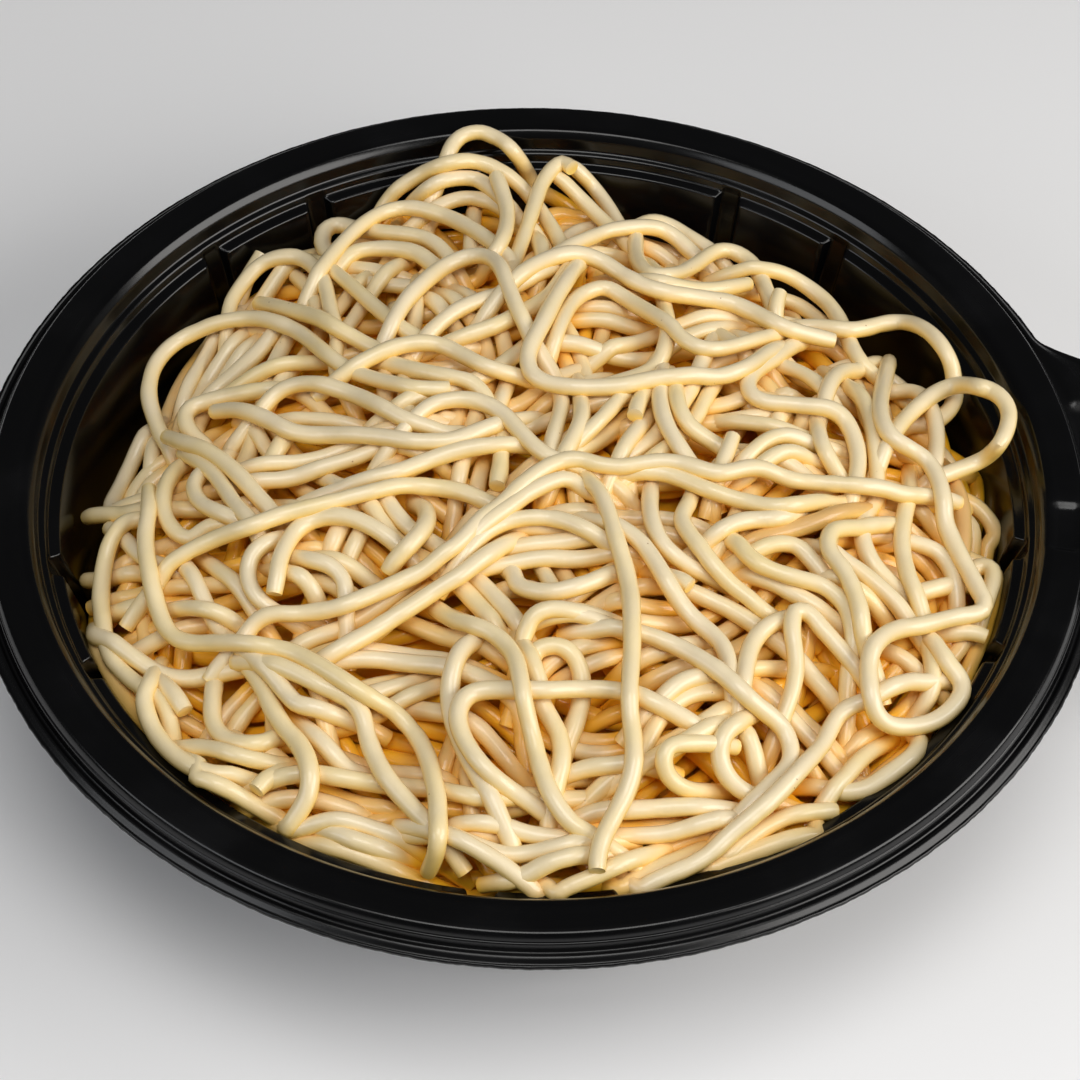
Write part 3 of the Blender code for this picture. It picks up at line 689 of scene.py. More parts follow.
# The strands that stand out in the photograph, lowest first: pixels along each one.
traced = {
    "backLoop": [(444, 164), (450, 148), (460, 137), (478, 132), (494, 137), (506, 144), (518, 157),
        (528, 171), (536, 184)],
    "backArchOne": [(430, 206), (450, 200), (470, 198), (490, 202), (510, 212), (530, 222)],
    "backArchTwo": [(406, 204), (426, 189), (442, 181), (460, 178), (478, 180), (494, 190), (512, 204)],
    "backArch": [(376, 212), (394, 192), (410, 181), (430, 170), (450, 163), (470, 161), (490, 166),
        (508, 176), (522, 188), (534, 202), (548, 222), (560, 240), (568, 252)],
    "backPeakOuter": [(566, 164), (574, 168), (588, 181), (604, 201), (620, 224), (630, 236)],
    "backPeakInner": [(556, 176), (566, 184), (580, 198), (598, 216), (614, 229), (628, 240)],
    "backPeak": [(572, 168), (562, 163), (550, 172), (540, 188), (534, 206), (528, 224), (520, 246),
        (510, 268)],
    "leftCurl": [(334, 258), (325, 248), (322, 237), (328, 228), (340, 225), (358, 229), (380, 232),
        (402, 234), (424, 238), (440, 246), (452, 257)],
    "leftShelf": [(338, 262), (352, 252), (372, 249), (394, 249), (418, 253), (438, 264)],
    "leftArchBehind": [(262, 254), (256, 264), (246, 278), (240, 292)],
    "leftArch": [(227, 322), (230, 304), (240, 288), (254, 271), (268, 261), (284, 257), (300, 258),
        (315, 268), (325, 286), (330, 306), (336, 326)],
    "outerLeftLoop": [(168, 442), (160, 430), (154, 416), (150, 403), (149, 388), (154, 368), (165, 352),
        (180, 340), (200, 330), (218, 323), (240, 319), (262, 319), (280, 324), (300, 333), (318, 347),
        (334, 360), (354, 372), (378, 380), (402, 385), (426, 387), (449, 388)],
    "cutTongue": [(259, 304), (276, 307), (296, 312), (318, 318), (340, 330), (362, 341), (384, 348)],
    "leftDiagonal": [(330, 264), (346, 280), (364, 297), (384, 314), (402, 327), (424, 336)],
    "crownArc": [(318, 268), (330, 256), (342, 244), (356, 230), (374, 217), (392, 210), (412, 208),
        (432, 212), (452, 219), (472, 229), (492, 241), (508, 252)],
    "standing": [(496, 176), (502, 192), (507, 210), (506, 228), (500, 244), (490, 258), (480, 272)],
    "backArcFar": [(634, 224), (648, 220), (664, 224), (680, 232), (696, 242), (714, 252), (728, 264)],
    "backArcNear": [(552, 252), (570, 245), (590, 238), (608, 231), (626, 228), (646, 227), (662, 230),
        (676, 238), (690, 249), (704, 258)],
    "hook": [(636, 236), (636, 250), (639, 263), (648, 273), (664, 276), (682, 272), (698, 263), (711, 254),
        (724, 250), (738, 254), (750, 262), (759, 274), (767, 290), (774, 306)],
    "rightShoulder": [(752, 262), (766, 267), (782, 273), (798, 281), (814, 292), (828, 304), (838, 318),
        (846, 334), (853, 350), (863, 364), (876, 375), (890, 384)],
    "risingOne": [(424, 334), (440, 322), (458, 310), (478, 301), (500, 294), (520, 284), (540, 272),
        (560, 262)],
    "risingTwo": [(442, 340), (466, 335), (492, 327), (516, 316), (538, 304), (552, 292), (563, 276),
        (569, 260)],
    "cutTop": [(748, 284), (732, 287), (712, 290), (690, 289), (668, 284), (650, 279), (632, 276)],
    "leftInnerArc": [(192, 456), (178, 467), (167, 484), (163, 502), (167, 520), (178, 534), (192, 538),
        (206, 528), (222, 522), (240, 518)],
    "leftHairpin": [(210, 462), (198, 476), (194, 490), (202, 504), (220, 512), (244, 518)],
    "leftVee": [(204, 460), (214, 472), (224, 488), (236, 504), (250, 516)],
    "leftSpur": [(128, 538), (138, 552), (152, 560), (168, 562)],
    "hookLeft": [(204, 440), (192, 432), (185, 420), (190, 409), (204, 403), (222, 398), (242, 394),
        (262, 389), (284, 384)],
    "lowerLeftDiag": [(204, 556), (220, 570), (236, 584), (250, 602), (262, 618)],
    "midRing": [(288, 532), (268, 541), (254, 553), (248, 571), (252, 590), (266, 604), (284, 612)],
    "midInside": [(292, 552), (312, 559), (330, 566), (342, 578), (346, 594), (346, 610)],
    "midInsideTwo": [(298, 570), (310, 584), (320, 602)],
    "leftBand": [(166, 606), (190, 607), (212, 611), (232, 619), (248, 630)],
    "behindCut": [(398, 360), (414, 368), (434, 374), (456, 377), (472, 382), (484, 392), (490, 402)],
    "shortVertical": [(502, 436), (501, 452), (500, 468), (497, 486)],
    "armUnder": [(340, 484), (370, 478), (400, 471), (430, 460), (460, 450), (486, 444), (512, 439)],
    "bunchOne": [(560, 388), (562, 402), (558, 420), (553, 436), (549, 452)],
    "bunchTwo": [(580, 390), (582, 408), (580, 424), (571, 440), (562, 455)],
    "bunchThree": [(622, 392), (610, 408), (596, 422), (580, 434)],
    "bunchFour": [(644, 418), (634, 432), (624, 446), (617, 458)],
    "cutBlock": [(648, 386), (640, 398), (635, 414)],
    "rightBunchOne": [(662, 380), (660, 397), (663, 415), (671, 433), (682, 449), (694, 462)],
    "rightBunchTwo": [(676, 384), (678, 402), (684, 418), (694, 430), (710, 439), (728, 446)],
    "innerArcOne": [(738, 462), (754, 449), (772, 438), (790, 434), (808, 437)],
    "innerArcTwo": [(760, 461), (776, 453), (792, 450), (812, 455)],
    "stubUp": [(733, 436), (728, 448), (721, 463)],
    "fallingOne": [(818, 420), (820, 436), (826, 452), (836, 468), (846, 480)],
    "fallingTwo": [(846, 380), (859, 393), (867, 409), (872, 428), (875, 450), (877, 472), (878, 490)],
    "innerHook": [(856, 366), (842, 370), (832, 380), (826, 394), (822, 408)],
    "shortUpright": [(780, 292), (776, 306), (776, 320)],
    "farRightLoop": [(794, 322), (812, 325), (830, 328), (850, 330), (866, 328), (882, 324), (900, 322),
        (916, 325), (931, 334), (943, 348), (951, 364), (954, 381), (955, 396), (950, 409), (940, 418),
        (926, 423), (910, 421)],
    "behindRight": [(892, 387), (908, 389), (920, 394), (929, 405), (935, 421), (937, 439), (936, 456)],
    "outerTranslucent": [(952, 474), (958, 492), (962, 512), (963, 532), (962, 552)],
    "bigRightLoop": [(886, 444), (896, 429), (908, 416), (920, 405), (933, 395), (947, 388), (962, 385),
        (978, 387), (993, 392), (1004, 401), (1009, 415), (1006, 431), (998, 446), (985, 458), (968, 466),
        (950, 471), (934, 474)],
    "rightStub": [(934, 630), (950, 632), (966, 632), (978, 634), (986, 637)],
    "rightEar": [(966, 574), (974, 567), (984, 565), (992, 570), (993, 580), (989, 592), (986, 600)],
    "rightInside": [(908, 536), (922, 543), (936, 551), (947, 563), (954, 578), (957, 594), (958, 610)],
    "rightRung": [(916, 588), (930, 586), (944, 581)],
    "ringDiagonal": [(906, 656), (896, 668), (886, 678)],
    "ringDiagonalTwo": [(894, 648), (906, 656), (920, 668)],
    "rightTwist": [(874, 500), (865, 516), (862, 533), (866, 551), (875, 567), (888, 581), (903, 593),
        (918, 606)],
    "rightRise": [(910, 473), (910, 487), (907, 503), (904, 518), (902, 534), (902, 546), (904, 560),
        (908, 576), (914, 590), (919, 604), (923, 620), (927, 640), (931, 656), (933, 672), (932, 688),
        (926, 700), (916, 712)],
    "brownFlat": [(750, 537), (776, 533), (800, 527), (820, 519), (838, 508)],
    "archRight": [(752, 548), (774, 543), (796, 546), (810, 557), (826, 572)],
    "tipStrand": [(704, 540), (716, 532), (732, 524), (752, 520), (772, 519), (792, 515), (812, 509)],
    "cascadeTwo": [(754, 571), (772, 581), (790, 592), (810, 601), (828, 610)],
    "cascadeFour": [(838, 572), (856, 588), (874, 603), (890, 620)],
    "cascadeThree": [(832, 545), (846, 560), (862, 573), (880, 588), (898, 604), (912, 620)],
    "cascadeOne": [(740, 540), (748, 553), (761, 565), (780, 573), (800, 579), (818, 584), (832, 592),
        (844, 604), (851, 620), (853, 640), (851, 660), (848, 680), (848, 697)],
    "smallHook": [(862, 522), (848, 526), (834, 530), (828, 541), (831, 554), (841, 566), (849, 580),
        (855, 594), (860, 611), (863, 630), (868, 646)],
    "lowTip": [(672, 572), (682, 579), (690, 586)],
    "midDrop": [(651, 484), (650, 504), (653, 524), (661, 541), (673, 554), (690, 564), (704, 568)],
    "innerDiag": [(688, 500), (682, 517), (688, 532), (699, 546), (709, 560), (720, 573), (733, 586),
        (748, 597), (762, 607), (775, 613)],
    "lowU": [(514, 570), (518, 582), (532, 590), (552, 592), (572, 588), (590, 581), (606, 571)],
    "stubArch": [(518, 660), (524, 636), (534, 616), (550, 607), (572, 606)],
    "archMid": [(468, 544), (486, 531), (506, 522), (526, 518), (548, 518), (568, 522), (588, 529),
        (606, 536)],
    "centreLong": [(598, 516), (612, 521), (627, 531), (641, 543), (653, 559), (663, 575), (672, 590),
        (681, 604), (694, 619), (708, 631), (720, 642), (728, 656), (731, 672)],
    "fanOne": [(600, 784), (630, 765), (658, 749), (684, 735), (706, 720), (722, 706)],
    "fanTwo": [(640, 762), (664, 752), (690, 738), (710, 722)],
    "fanThree": [(644, 744), (656, 724), (672, 706), (692, 693), (712, 686)],
    "fanFour": [(660, 696), (676, 684), (694, 676), (712, 672)],
    "upperBarLow": [(566, 770), (588, 767), (610, 764), (630, 758)],
    "knobLeft": [(790, 612), (776, 620), (762, 631), (752, 645), (747, 660), (744, 676)],
    "knob": [(782, 716), (789, 700), (794, 683), (796, 664), (794, 644), (792, 626), (796, 611), (809, 614),
        (820, 626), (832, 637), (844, 647)],
    "loopDInner": [(748, 730), (753, 747), (757, 764), (762, 780)],
    "loopD": [(738, 718), (726, 731), (720, 748), (722, 766), (731, 781), (746, 791), (764, 794)],
    "loopC": [(690, 738), (672, 744), (664, 757), (667, 773), (678, 785), (694, 790), (716, 788)],
    "floorRunOne": [(570, 818), (600, 811), (630, 810), (662, 808), (696, 806), (722, 804)],
    "footFanOne": [(600, 877), (630, 866), (660, 853), (690, 840), (716, 828)],
    "footFanTwo": [(620, 884), (650, 872), (682, 858), (706, 845)],
    "lowestRight": [(818, 830), (792, 838), (768, 847), (742, 856), (712, 864)],
    "bottomRightCut": [(835, 811), (812, 812), (790, 816), (770, 825), (752, 836), (730, 850)],
    "wallRun": [(914, 730), (920, 741), (914, 754), (902, 765), (884, 778), (866, 789), (846, 792),
        (828, 787), (814, 782)],
    "wallRunInner": [(888, 738), (874, 748), (860, 760), (846, 774), (836, 782)],
    "diagonalLow": [(611, 622), (632, 630), (656, 638), (680, 648), (700, 659), (720, 672), (737, 687),
        (753, 702), (770, 716), (783, 729), (790, 745), (790, 761), (780, 776), (764, 790), (747, 804)],
    "rightFoot": [(924, 677), (912, 679), (898, 684), (884, 691), (868, 700), (852, 706), (840, 714),
        (831, 728), (823, 744), (812, 757), (800, 770), (786, 785), (770, 801), (750, 818), (730, 835),
        (712, 852), (690, 866), (662, 877), (640, 884)],
    "outerLowLoop": [(146, 514), (130, 519), (118, 529), (110, 544), (105, 562), (102, 582), (101, 602),
        (103, 622), (106, 642), (113, 660), (125, 674), (140, 686), (156, 696), (166, 710), (171, 728),
        (173, 744)],
    "crossLow": [(112, 637), (122, 647), (136, 659), (152, 670), (170, 677), (190, 679), (210, 676),
        (230, 670), (250, 662)],
    "stubLow": [(166, 682), (176, 696), (185, 711)],
    "innerBowl": [(213, 684), (212, 703), (213, 720), (219, 733), (230, 741), (246, 744), (262, 741),
        (274, 733)],
    "bowlFloor": [(178, 744), (196, 746), (214, 749), (232, 754), (252, 758), (272, 758)],
    "leftWallStrand": [(148, 680), (144, 696), (147, 714), (154, 731), (165, 746), (179, 759), (195, 768),
        (212, 772), (230, 769)],
    "leftFoot": [(196, 772), (214, 782), (236, 794), (258, 807), (284, 822)],
    "stubDisc": [(272, 796), (300, 798), (330, 803), (352, 806)],
    "cutDisc": [(274, 770), (264, 780), (256, 790)],
    "archSmall": [(268, 664), (286, 667), (304, 673), (316, 685), (321, 702)],
    "lowerInner": [(300, 720), (312, 732), (324, 744), (335, 757), (348, 767), (364, 770)],
    "footOne": [(300, 838), (322, 844), (346, 851), (372, 860), (400, 868)],
    "footTwo": [(314, 824), (334, 832), (356, 841), (380, 848), (404, 853)],
    "footThree": [(308, 821), (334, 819), (360, 825), (384, 833), (408, 841), (424, 849)],
    "lowBar": [(284, 771), (312, 773), (342, 778), (372, 783), (402, 787), (432, 789), (460, 794), (482, 798),
        (504, 797), (528, 791)],
    "sweepBottomOne": [(446, 824), (470, 822), (500, 826), (528, 834), (556, 838), (590, 838), (630, 836),
        (664, 834), (694, 826), (722, 814)],
    "sweepBottomTwo": [(446, 830), (464, 840), (484, 849), (506, 855), (532, 853), (560, 846), (590, 836)],
    "sweepBottomThree": [(440, 828), (458, 838), (478, 850), (498, 862), (518, 876), (538, 888)],
    "bottomFanOne": [(530, 868), (560, 858), (580, 850)],
    "bottomFanTwo": [(556, 888), (590, 878), (620, 864), (650, 850)],
    "frontCurl": [(250, 664), (262, 686), (272, 708), (284, 727), (298, 743), (307, 760), (310, 779),
        (307, 797), (298, 811), (288, 822)],
    "bendStrand": [(238, 642), (250, 654), (264, 666), (276, 680), (287, 694), (298, 704), (316, 707),
        (337, 711)],
    "secondCurve": [(276, 660), (296, 672), (318, 684), (338, 693), (354, 703), (363, 718), (367, 736),
        (374, 755), (384, 774), (398, 792), (414, 808), (430, 820)],
    "archLeft": [(474, 636), (462, 648), (454, 666), (450, 688), (451, 711), (457, 733), (466, 754),
        (477, 773), (490, 790)],
    "bow": [(528, 668), (534, 652), (548, 646), (564, 648), (575, 659), (581, 675), (582, 694), (578, 713),
        (570, 732)],
    "bowInner": [(530, 650), (535, 667), (540, 684), (542, 702), (550, 718), (559, 736), (562, 756),
        (557, 776)],
    "crossBar": [(672, 706), (652, 700), (634, 694), (612, 690), (580, 689), (550, 690), (516, 690),
        (490, 690), (473, 693), (462, 702), (458, 716), (461, 732), (469, 748), (481, 764), (496, 777),
        (512, 786)],
    "centreDrop": [(440, 606), (454, 618), (472, 625), (490, 632), (506, 645), (516, 661), (521, 681),
        (524, 700), (528, 718), (533, 738), (538, 758), (544, 778), (552, 796), (562, 812), (575, 824),
        (592, 830)],
    "archSweep": [(548, 360), (553, 344), (559, 328), (566, 312), (576, 299), (590, 291), (605, 288),
        (620, 295), (636, 305), (654, 315), (670, 325), (682, 338), (698, 347), (718, 349), (738, 345),
        (758, 338), (776, 330)],
    "spineRight": [(500, 290), (516, 277), (534, 266), (555, 257), (577, 254), (600, 261), (620, 273),
        (642, 285), (668, 293), (700, 298), (730, 303), (752, 312), (770, 321), (788, 329), (808, 335),
        (834, 341)],
    "longHill": [(392, 318), (404, 302), (420, 286), (438, 271), (456, 261), (474, 256), (490, 258),
        (501, 268), (508, 284), (516, 304), (525, 324), (534, 342), (546, 358)],
    "saddle": [(356, 360), (378, 353), (400, 346), (420, 343), (440, 345), (458, 353), (476, 362), (496, 370),
        (516, 374), (534, 376)],
    "broadArch": [(258, 408), (276, 393), (296, 385), (318, 384), (340, 390), (362, 398), (384, 408),
        (404, 418), (426, 426), (446, 431), (462, 428)],
    "cutRibbon": [(214, 412), (236, 410), (256, 415), (274, 423), (290, 431), (310, 435), (334, 435),
        (358, 435), (380, 437), (404, 439), (428, 440), (450, 439), (470, 433), (488, 425), (504, 418)],
    "lipStrand": [(167, 437), (184, 443), (201, 448), (217, 457), (232, 469), (245, 482), (257, 494),
        (270, 505)],
    "humpStrand": [(404, 424), (418, 412), (434, 402), (454, 398), (474, 399), (492, 405), (508, 417),
        (521, 431), (535, 445), (551, 455), (572, 459)],
    "midHoop": [(274, 594), (277, 577), (280, 560), (287, 544), (298, 529), (314, 520), (334, 516),
        (354, 519), (372, 527), (390, 537), (404, 547)],
    "shortHook": [(388, 572), (396, 560), (406, 549), (418, 536), (426, 523), (426, 509), (416, 500)],
    "longSweep": [(158, 578), (168, 564), (186, 553), (206, 543), (228, 534), (254, 525), (282, 515),
        (312, 507), (340, 500), (370, 492), (400, 486), (430, 487), (458, 491), (480, 497), (496, 501)],
    "stubDiagonal": [(470, 532), (490, 518), (510, 505), (530, 492), (550, 482), (568, 477), (583, 483)],
    "secondDiagonal": [(318, 658), (340, 648), (366, 635), (390, 620), (414, 605), (438, 589), (462, 574),
        (482, 558), (500, 542)],
    "secondLevel": [(640, 466), (660, 471), (682, 479), (704, 488), (726, 496), (748, 502), (772, 506),
        (796, 505), (816, 501), (836, 499)],
    "hairpinRight": [(784, 346), (770, 360), (756, 371), (748, 383), (752, 395), (766, 402), (786, 404),
        (806, 406), (826, 408), (840, 415), (849, 427), (855, 442), (858, 458), (857, 474), (853, 490)],
    "uTurn": [(571, 268), (563, 284), (554, 301), (544, 320), (534, 338), (528, 356), (531, 372), (544, 382),
        (566, 386), (592, 387), (618, 385), (642, 380), (666, 376), (690, 375), (712, 377), (730, 374),
        (748, 365), (762, 352)],
    "longDiagonal": [(244, 632), (256, 620), (274, 614), (294, 614), (314, 612), (336, 608), (356, 601),
        (378, 592), (400, 582), (424, 570), (444, 553), (462, 538), (480, 518), (500, 504), (520, 485),
        (540, 470), (560, 460), (580, 458), (600, 463), (622, 465), (642, 462), (662, 460), (682, 462),
        (702, 468), (722, 472), (742, 469), (758, 468), (774, 473), (792, 480), (820, 483), (850, 485),
        (880, 488), (902, 492), (918, 490)],
    "rightEdgeFall": [(886, 371), (882, 389), (880, 409), (885, 428), (897, 441), (912, 450), (926, 460),
        (935, 473), (941, 489), (944, 506), (945, 522), (952, 540), (962, 560), (970, 574), (978, 590),
        (984, 601), (982, 611), (970, 615), (956, 617), (940, 621), (920, 626), (900, 629), (884, 636),
        (873, 648), (869, 664), (869, 680), (871, 694), (875, 710), (883, 721), (894, 726), (908, 727),
        (926, 724), (940, 718), (954, 706), (962, 692), (960, 680), (950, 666), (941, 650), (935, 638)],
    "verticalCut": [(149, 489), (149, 510), (146, 530), (146, 550), (149, 570), (153, 590), (158, 608),
        (165, 626), (176, 638), (192, 643), (214, 643), (240, 643), (264, 646), (290, 652), (314, 663),
        (336, 676), (358, 690), (378, 702), (394, 712), (408, 726), (420, 742), (428, 760), (433, 778),
        (437, 798), (438, 818), (438, 838), (435, 856), (428, 872)],
    "downMiddle": [(592, 478), (601, 492), (609, 512), (615, 532), (621, 553), (627, 576), (631, 600),
        (632, 626), (632, 652), (630, 682), (630, 710), (633, 736), (634, 760), (630, 781), (622, 801),
        (612, 820), (603, 838), (598, 856), (597, 871)],
}


darkBrown = ("brownFlat", "outerTranslucent")     # coloured darker brown
keptEnds = {                          # ends that stop where they are seen, cut clean or folded into the next
    "start": ("cutTongue", "lipStrand", "verticalCut", "cutTop", "cutRibbon", "shortHook", "midHoop",
              "leftArchBehind", "shortUpright", "standing", "bottomRightCut", "stubUp", "backPeak",
              "backPeakOuter", "backPeakInner"),
    "end": ("outerLeftLoop", "verticalCut", "spineRight", "shortVertical", "rightStub", "stubLow", "leftFoot",
            "lowTip", "downMiddle", "cutBlock", "cutDisc"),
}
tracing = {
    "perPixel": 1 / 5.9,              # mm on the heap
    "spacing": 0.9,                   # of the step, since routes run up and down too
    "sizes": (0.96, 1.04),
    "rounds": 4,
    "edge": 4.0, "edgeFloor": -8.5,   # this near the heap's edge a strand lies on no less than this height
    "stiffness": 16.0,
    "over": 0.5,                      # over the crown
    "air": 0.8,                       # to the wall behind
    "lift": 0.4, "lifts": 30,
}


def liftedClear(line, heights, size):  # points behind the heap rise along their rays to clear the wall
    for _ in range(tracing["lifts"]):
        spots = unproject(line, heights)
        limit = roomRadius(heights) - size - tracing["air"]
        inWall = (spots[:, 1] > 0) & (np.hypot(spots[:, 0], spots[:, 1]) > limit) & (heights < size)
        if not inWall.any():
            break
        heights = heights + tracing["lift"] * inWall
        heights[1:-1] = np.maximum(heights[1:-1], (heights[:-2] + heights[2:]) / 2 - tracing["lift"])
    return heights


def traceStrand(name, pixels, rng):
    line = evenly(splinePoints(pixels), noodle["step"] / tracing["perPixel"] * tracing["spacing"])
    spots = unproject(line, np.zeros(len(line)))
    heights = heapHeight(spots[:, 0], spots[:, 1])
    size = noodle["radius"] * rng.uniform(*tracing["sizes"])
    for _ in range(tracing["rounds"]):
        spots = unproject(line, heights)
        edge = shoulderRadius(spots[:, 0], spots[:, 1]) - tracing["edge"]
        floorLine = np.where(np.hypot(spots[:, 0], spots[:, 1]) > edge, tracing["edgeFloor"], heap["deepest"])
        heights = (heights + restingHeights(spots, size, floorLine, tracing["stiffness"])) / 2
    heights = liftedClear(line, np.minimum(heights, heap["crown"] + tracing["over"]), size)
    kept = [side for side, names in keptEnds.items() if name in names]
    keepStrand(sunkEnds(unproject(line, heights), size, kept), size, float(name in darkBrown))


rng = np.random.default_rng(noodle["seed"])
fillHeap(rng)
print("loose filling: %d strands" % len(strands))
for name, pixels in traced.items():
    traceStrand(name, pixels, rng)
print("strands laid: %d" % len(strands))


# strands become noodles by a Geometry Nodes sweep
sweep = {
    "group": 60,                      # strands in a piece
    "Sides": 12, "Smoothness": 2,
    "wave": 0.035, "waveRate": 0.35, "phase": 6.3,          # slow swelling along a strand
    "uneven": 0.02, "tip": 0.93,
    "sharp": 55,                      # degrees
}


def sweepTree():
    tree = bpy.data.node_groups.new("noodleSweep", "GeometryNodeTree")
    face = tree.interface
    face.new_socket("Geometry", in_out="INPUT", socket_type="NodeSocketGeometry")
    for name in ("Sides", "Smoothness"):
        face.new_socket(name, in_out="INPUT", socket_type="NodeSocketInt").default_value = sweep[name]
    face.new_socket("Material", in_out="INPUT", socket_type="NodeSocketMaterial")
    face.new_socket("Geometry", in_out="OUTPUT", socket_type="NodeSocketGeometry")
    given = tree.nodes.new("NodeGroupInput")
    result = tree.nodes.new("NodeGroupOutput")

    def chain(kind, source, **settings):
        made = tree.nodes.new(kind)
        for name, value in settings.items():
            setattr(made, name, value)
        if source:
            tree.links.new(source, made.inputs[0])
        return made

    curve = chain("GeometryNodeMeshToCurve", given.outputs["Geometry"])
    typed = chain("GeometryNodeCurveSplineType", curve.outputs[0], spline_type="CATMULL_ROM")
    fine = chain("GeometryNodeSetSplineResolution", typed.outputs[0])
    tree.links.new(given.outputs["Smoothness"], fine.inputs["Resolution"])
    thickness = chain("GeometryNodeInputNamedAttribute", None, data_type="FLOAT")
    thickness.inputs["Name"].default_value = "thickness"
    sized = chain("GeometryNodeSetCurveRadius", fine.outputs[0])
    tree.links.new(thickness.outputs["Attribute"], sized.inputs["Radius"])
    ring = chain("GeometryNodeCurvePrimitiveCircle", None)
    tree.links.new(given.outputs["Sides"], ring.inputs["Resolution"])
    ring.inputs["Radius"].default_value = 1.0
    swept = chain("GeometryNodeCurveToMesh", sized.outputs[0])
    tree.links.new(ring.outputs["Curve"], swept.inputs["Profile Curve"])
    swept.inputs["Fill Caps"].default_value = True
    tree.links.new(thickness.outputs["Attribute"], swept.inputs["Scale"])
    shaded = chain("GeometryNodeSetShadeSmooth", swept.outputs[0])
    real = chain("GeometryNodeRealizeInstances", shaded.outputs[0])
    coloured = chain("GeometryNodeSetMaterial", real.outputs[0])
    tree.links.new(given.outputs["Material"], coloured.inputs["Material"])
    tree.links.new(coloured.outputs[0], result.inputs[0])
    return tree


def setInput(modifier, name, value):
    sockets = modifier.node_group.interface.items_tree
    socket = next(s for s in sockets if s.name == name and s.in_out == "INPUT")
    modifier[socket.identifier] = value


def addAttribute(mesh, name, values):
    mesh.attributes.new(name, "FLOAT", "POINT").data.foreach_set("value", values)


def blurred(field, reach):            # mean over about this many millimetres
    cells = int(reach / noodle["cell"])
    for side in (0, 1):
        field = sum(np.roll(field, shift, axis=side) for shift in range(-cells, cells + 1)) / (2 * cells + 1)
    return field


def sweepStrands(name, group, tree, material, rng):
    points, edges, values = [], [], {"thickness": [], "depth": [], "tone": [], "darkened": []}
    for route, radius, darkened in group:
        first = len(points)
        count = len(route)
        points += (route * mm + np.array([0.0, 0.0, rimHeight])).tolist()
        edges += [(first + i, first + i + 1) for i in range(count - 1)]
        along = np.arange(count) * sweep["waveRate"] + rng.uniform(0, sweep["phase"])
        swell = 1.0 + sweep["wave"] * np.sin(along) + sweep["uneven"] * rng.normal(0, 1, count)
        swell[[0, -1]] *= sweep["tip"]
        values["thickness"] += (radius * mm * swell).tolist()
        # how far under the heap's skin the point lies, the mask for the painted deep shade
        values["depth"] += (sample(cover, route) - route[:, 2] - radius).tolist()
        values["tone"] += [rng.uniform(0, 1)] * count
        values["darkened"] += [darkened] * count
    mesh = bpy.data.meshes.new(name)
    mesh.from_pydata(points, edges, [])
    for key, column in values.items():
        addAttribute(mesh, key, column)
    piece = addObject(name, mesh)
    modifier = piece.modifiers.new("sweep", "NODES")
    modifier.node_group = tree
    setInput(modifier, "Sides", sweep["Sides"])
    setInput(modifier, "Smoothness", sweep["Smoothness"])
    setInput(modifier, "Material", material)
    graph = bpy.context.evaluated_depsgraph_get()
    swept = bpy.data.meshes.new_from_object(piece.evaluated_get(graph), preserve_all_data_layers=True,
                                            depsgraph=graph)
    piece.modifiers.clear()
    piece.data = swept
    swept.set_sharp_from_angle(angle=math.radians(sweep["sharp"]))
    normals = np.zeros(3 * len(swept.vertices), dtype=np.float32)
    swept.vertex_normals.foreach_get("vector", normals)
    addAttribute(swept, "under", 0.5 - 0.5 * normals[2::3])                 # 0 on top, 1 underneath, the mask for the painted glow
    return piece


noodleLook = {
    "top": (0.84, 0.71, 0.48, 1.0),
    "yellow": (0.86, 0.68, 0.32, 1.0),
    # painted shade: the saturated orange of strands deep in the gaps, standing for shade and warm bounced
    # light
    "paintedDeepShade": (0.97, 0.50, 0.02, 1.0),
    "darkBrown": (0.62, 0.33, 0.08, 1.0),
    "speck": (0.30, 0.14, 0.05, 1.0),
    # painted light: the warm colour of light passing through the strands' flanks
    "paintedGlow": (0.95, 0.64, 0.15, 1.0),
    "constants": {"IOR": 1.42, "Coat Roughness": 0.13, "Specular IOR Level": 0.5},
    "patchScale": 110.0, "streakScale": 650.0, "dotScale": 340.0, "chanceScale": 160.0,     # per metre
    "warmth": {"tone": 0.35, "patches": 0.9, "less": 0.3},
    "dots": (0.03, 0.07), "chance": (0.6, 0.68), "speckShare": 0.8, "darkenedShare": 0.8,
    "roughness": {"plain": 0.34, "patches": 0.16, "streaks": 0.08},
    "coat": {"plain": 0.45, "streaks": 0.3},
    "relief": {"patches": 0.7, "streaks": 0.3, "strength": 0.4, "distance": 0.0006},
    "sides": (0.02, 0.65),            # share of the way under where the painted glow starts and is full
    "depths": (-0.5, 4.5),            # where the painted deep shade starts and is full, under the heap's skin
}


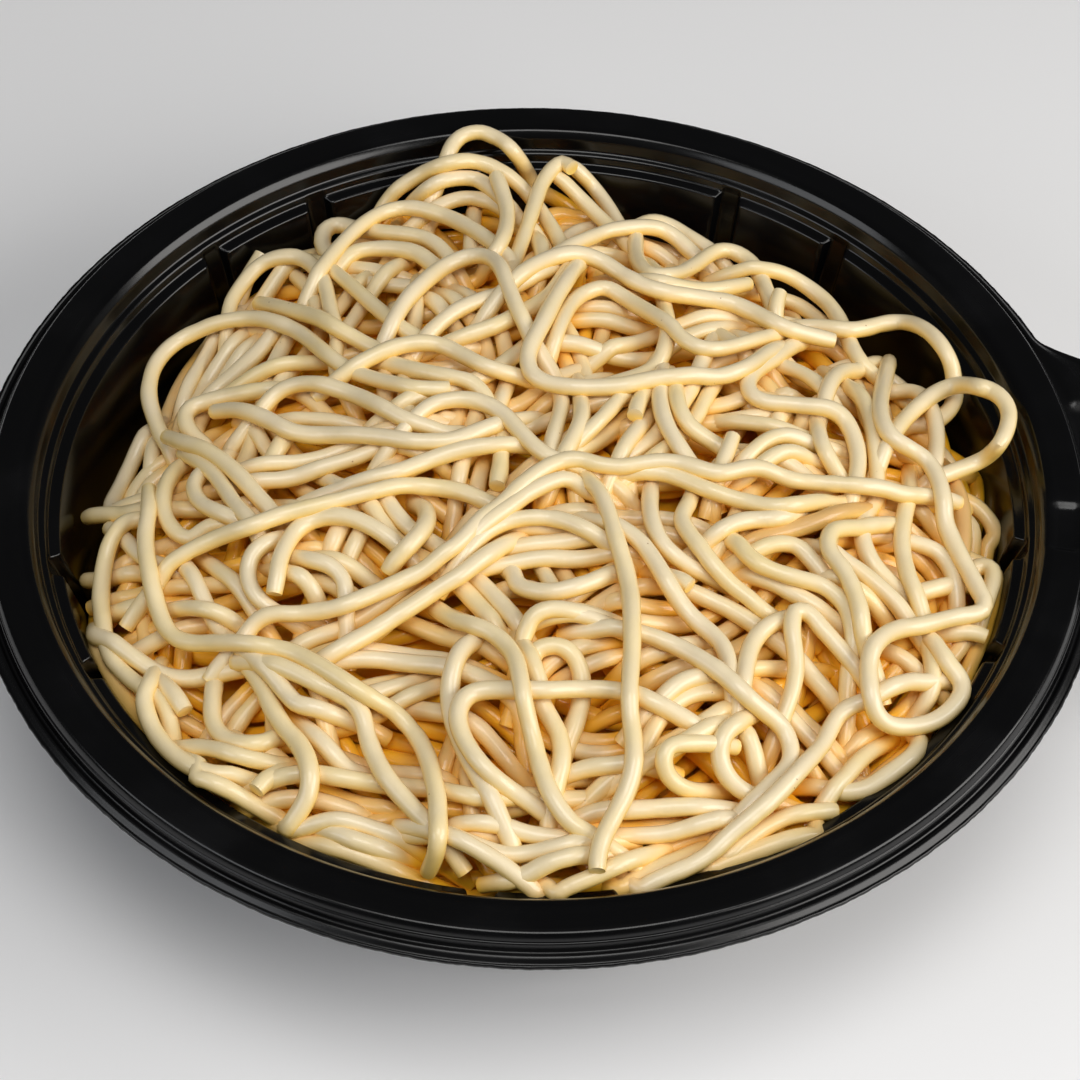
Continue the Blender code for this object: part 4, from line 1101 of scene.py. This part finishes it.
def cookedNoodle():
    look = noodleLook
    rough, coat, relief, warmth = (look[key] for key in ("roughness", "coat", "relief", "warmth"))
    material, wire, shader = newMaterial("cookedNoodle", look["constants"])
    spot = wire.node("ShaderNodeTexCoord", output="Object")
    depth, tone, darkened, under = (wire.node("ShaderNodeAttribute", {"attribute_name": name}, output="Fac")
                                 for name in ("depth", "tone", "darkened", "under"))
    patches = noise(wire, spot, look["patchScale"], 3.0)
    streaks = noise(wire, spot, look["streakScale"], 3.0)
    chance = noise(wire, spot, look["chanceScale"], 1.0)
    dots = wire.node("ShaderNodeTexVoronoi", inputs={"Vector": spot, "Scale": look["dotScale"]},
                     output="Distance")
    warm = (tone * warmth["tone"] + patches * warmth["patches"] - warmth["less"]).ramp(0.0, 1.0)
    # the listed strands are coloured darker brown
    skin = (darkened * look["darkenedShare"]).mix(warm.mix(look["top"], look["yellow"]), look["darkBrown"])
    lit = under.ramp(*look["sides"]).mix(skin, look["paintedGlow"])                # painted glow: flanks and undersides coloured warmer yellow-orange, standing for light passing through
    # painted shade: strands deeper under the heap's skin turn to the saturated orange
    body = depth.ramp(*look["depths"]).mix(lit, look["paintedDeepShade"])
    speck = (1 - dots.ramp(*look["dots"])) * chance.ramp(*look["chance"])
    plug((speck * look["speckShare"]).mix(body, look["speck"]), shader, "Base Color")
    plug(rough["plain"] + patches * rough["patches"] + streaks * rough["streaks"], shader, "Roughness")
    plug(coat["plain"] + streaks * coat["streaks"], shader, "Coat Weight")
    plugBump(patches * relief["patches"] + streaks * relief["streaks"], shader, relief)
    return material


coreForm = {
    "sides": 96, "rings": 30, "radius": 76.0,
    "sunk": 0.5,                      # under the surface that strands are laid on
    "floor": -43.0, "bottom": -43.5, "bottomRadius": 60.0,
    "clear": 1.0,                     # to the wall
    "depth": 14.0,                    # painted with the deep shade colour, as if lying this deep
}


def makeCore(material):               # what little is seen between the strands
    sides, rings, bottomHeight = coreForm["sides"], coreForm["rings"], coreForm["bottom"]
    sunk, bottomRadius = noodle["coreSunk"], coreForm["bottomRadius"]
    turns = np.linspace(0, 2 * math.pi, sides, endpoint=False)
    points, faces = [], []
    for share in np.linspace(1.0, 0.0, rings + 1)[:-1]:
        radius = share * coreForm["radius"]
        x, y = radius * np.cos(turns), radius * np.sin(turns)
        z = np.maximum(heapHeight(x, y) - sunk - coreForm["sunk"], coreForm["floor"])
        inside = np.minimum(1.0, (wallRadius(-z) - coreForm["clear"]) / np.maximum(radius, 1e-6))
        points += np.stack([x * inside, y * inside, z], axis=1).tolist()
    bottom = [(bottomRadius * math.cos(t), bottomRadius * math.sin(t), bottomHeight) for t in turns]
    top = float(heapHeight(0.0, 0.0)) - sunk - coreForm["sunk"]
    points = bottom + points + [(0, 0, top), (0, 0, bottomHeight)]
    for ring in range(rings):
        here, above = ring * sides, (ring + 1) * sides
        for side in range(sides):
            after = (side + 1) % sides
            faces.append((here + side, here + after, above + after, above + side))
    for side in range(sides):
        after = (side + 1) % sides
        faces.append((rings * sides + side, rings * sides + after, len(points) - 2))
        faces.append((after, side, len(points) - 1))
    mesh = bpy.data.meshes.new("heap_core")
    mesh.from_pydata([(x * mm, y * mm, z * mm + rimHeight) for x, y, z in points], [], faces)
    mesh.shade_smooth()
    # the whole core is painted with the deep shade colour
    addAttribute(mesh, "depth", [coreForm["depth"]] * len(points))
    mesh.materials.append(material)
    return addObject("heap_core", mesh)


cover = bed
for reach in noodle["blurs"]:
    cover = blurred(cover, reach)
tree = sweepTree()
cooked = cookedNoodle()
pieces = [makeCore(cooked)]
for number, start in enumerate(range(0, len(strands), sweep["group"]), 1):
    group = strands[start:start + sweep["group"]]
    pieces.append(sweepStrands("noodles_%d" % number, group, tree, cooked, rng))
for piece in pieces:
    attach(piece, "root")
    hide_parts("noodles")
    print("%s: %d faces" % (piece.name, len(piece.data.polygons)))
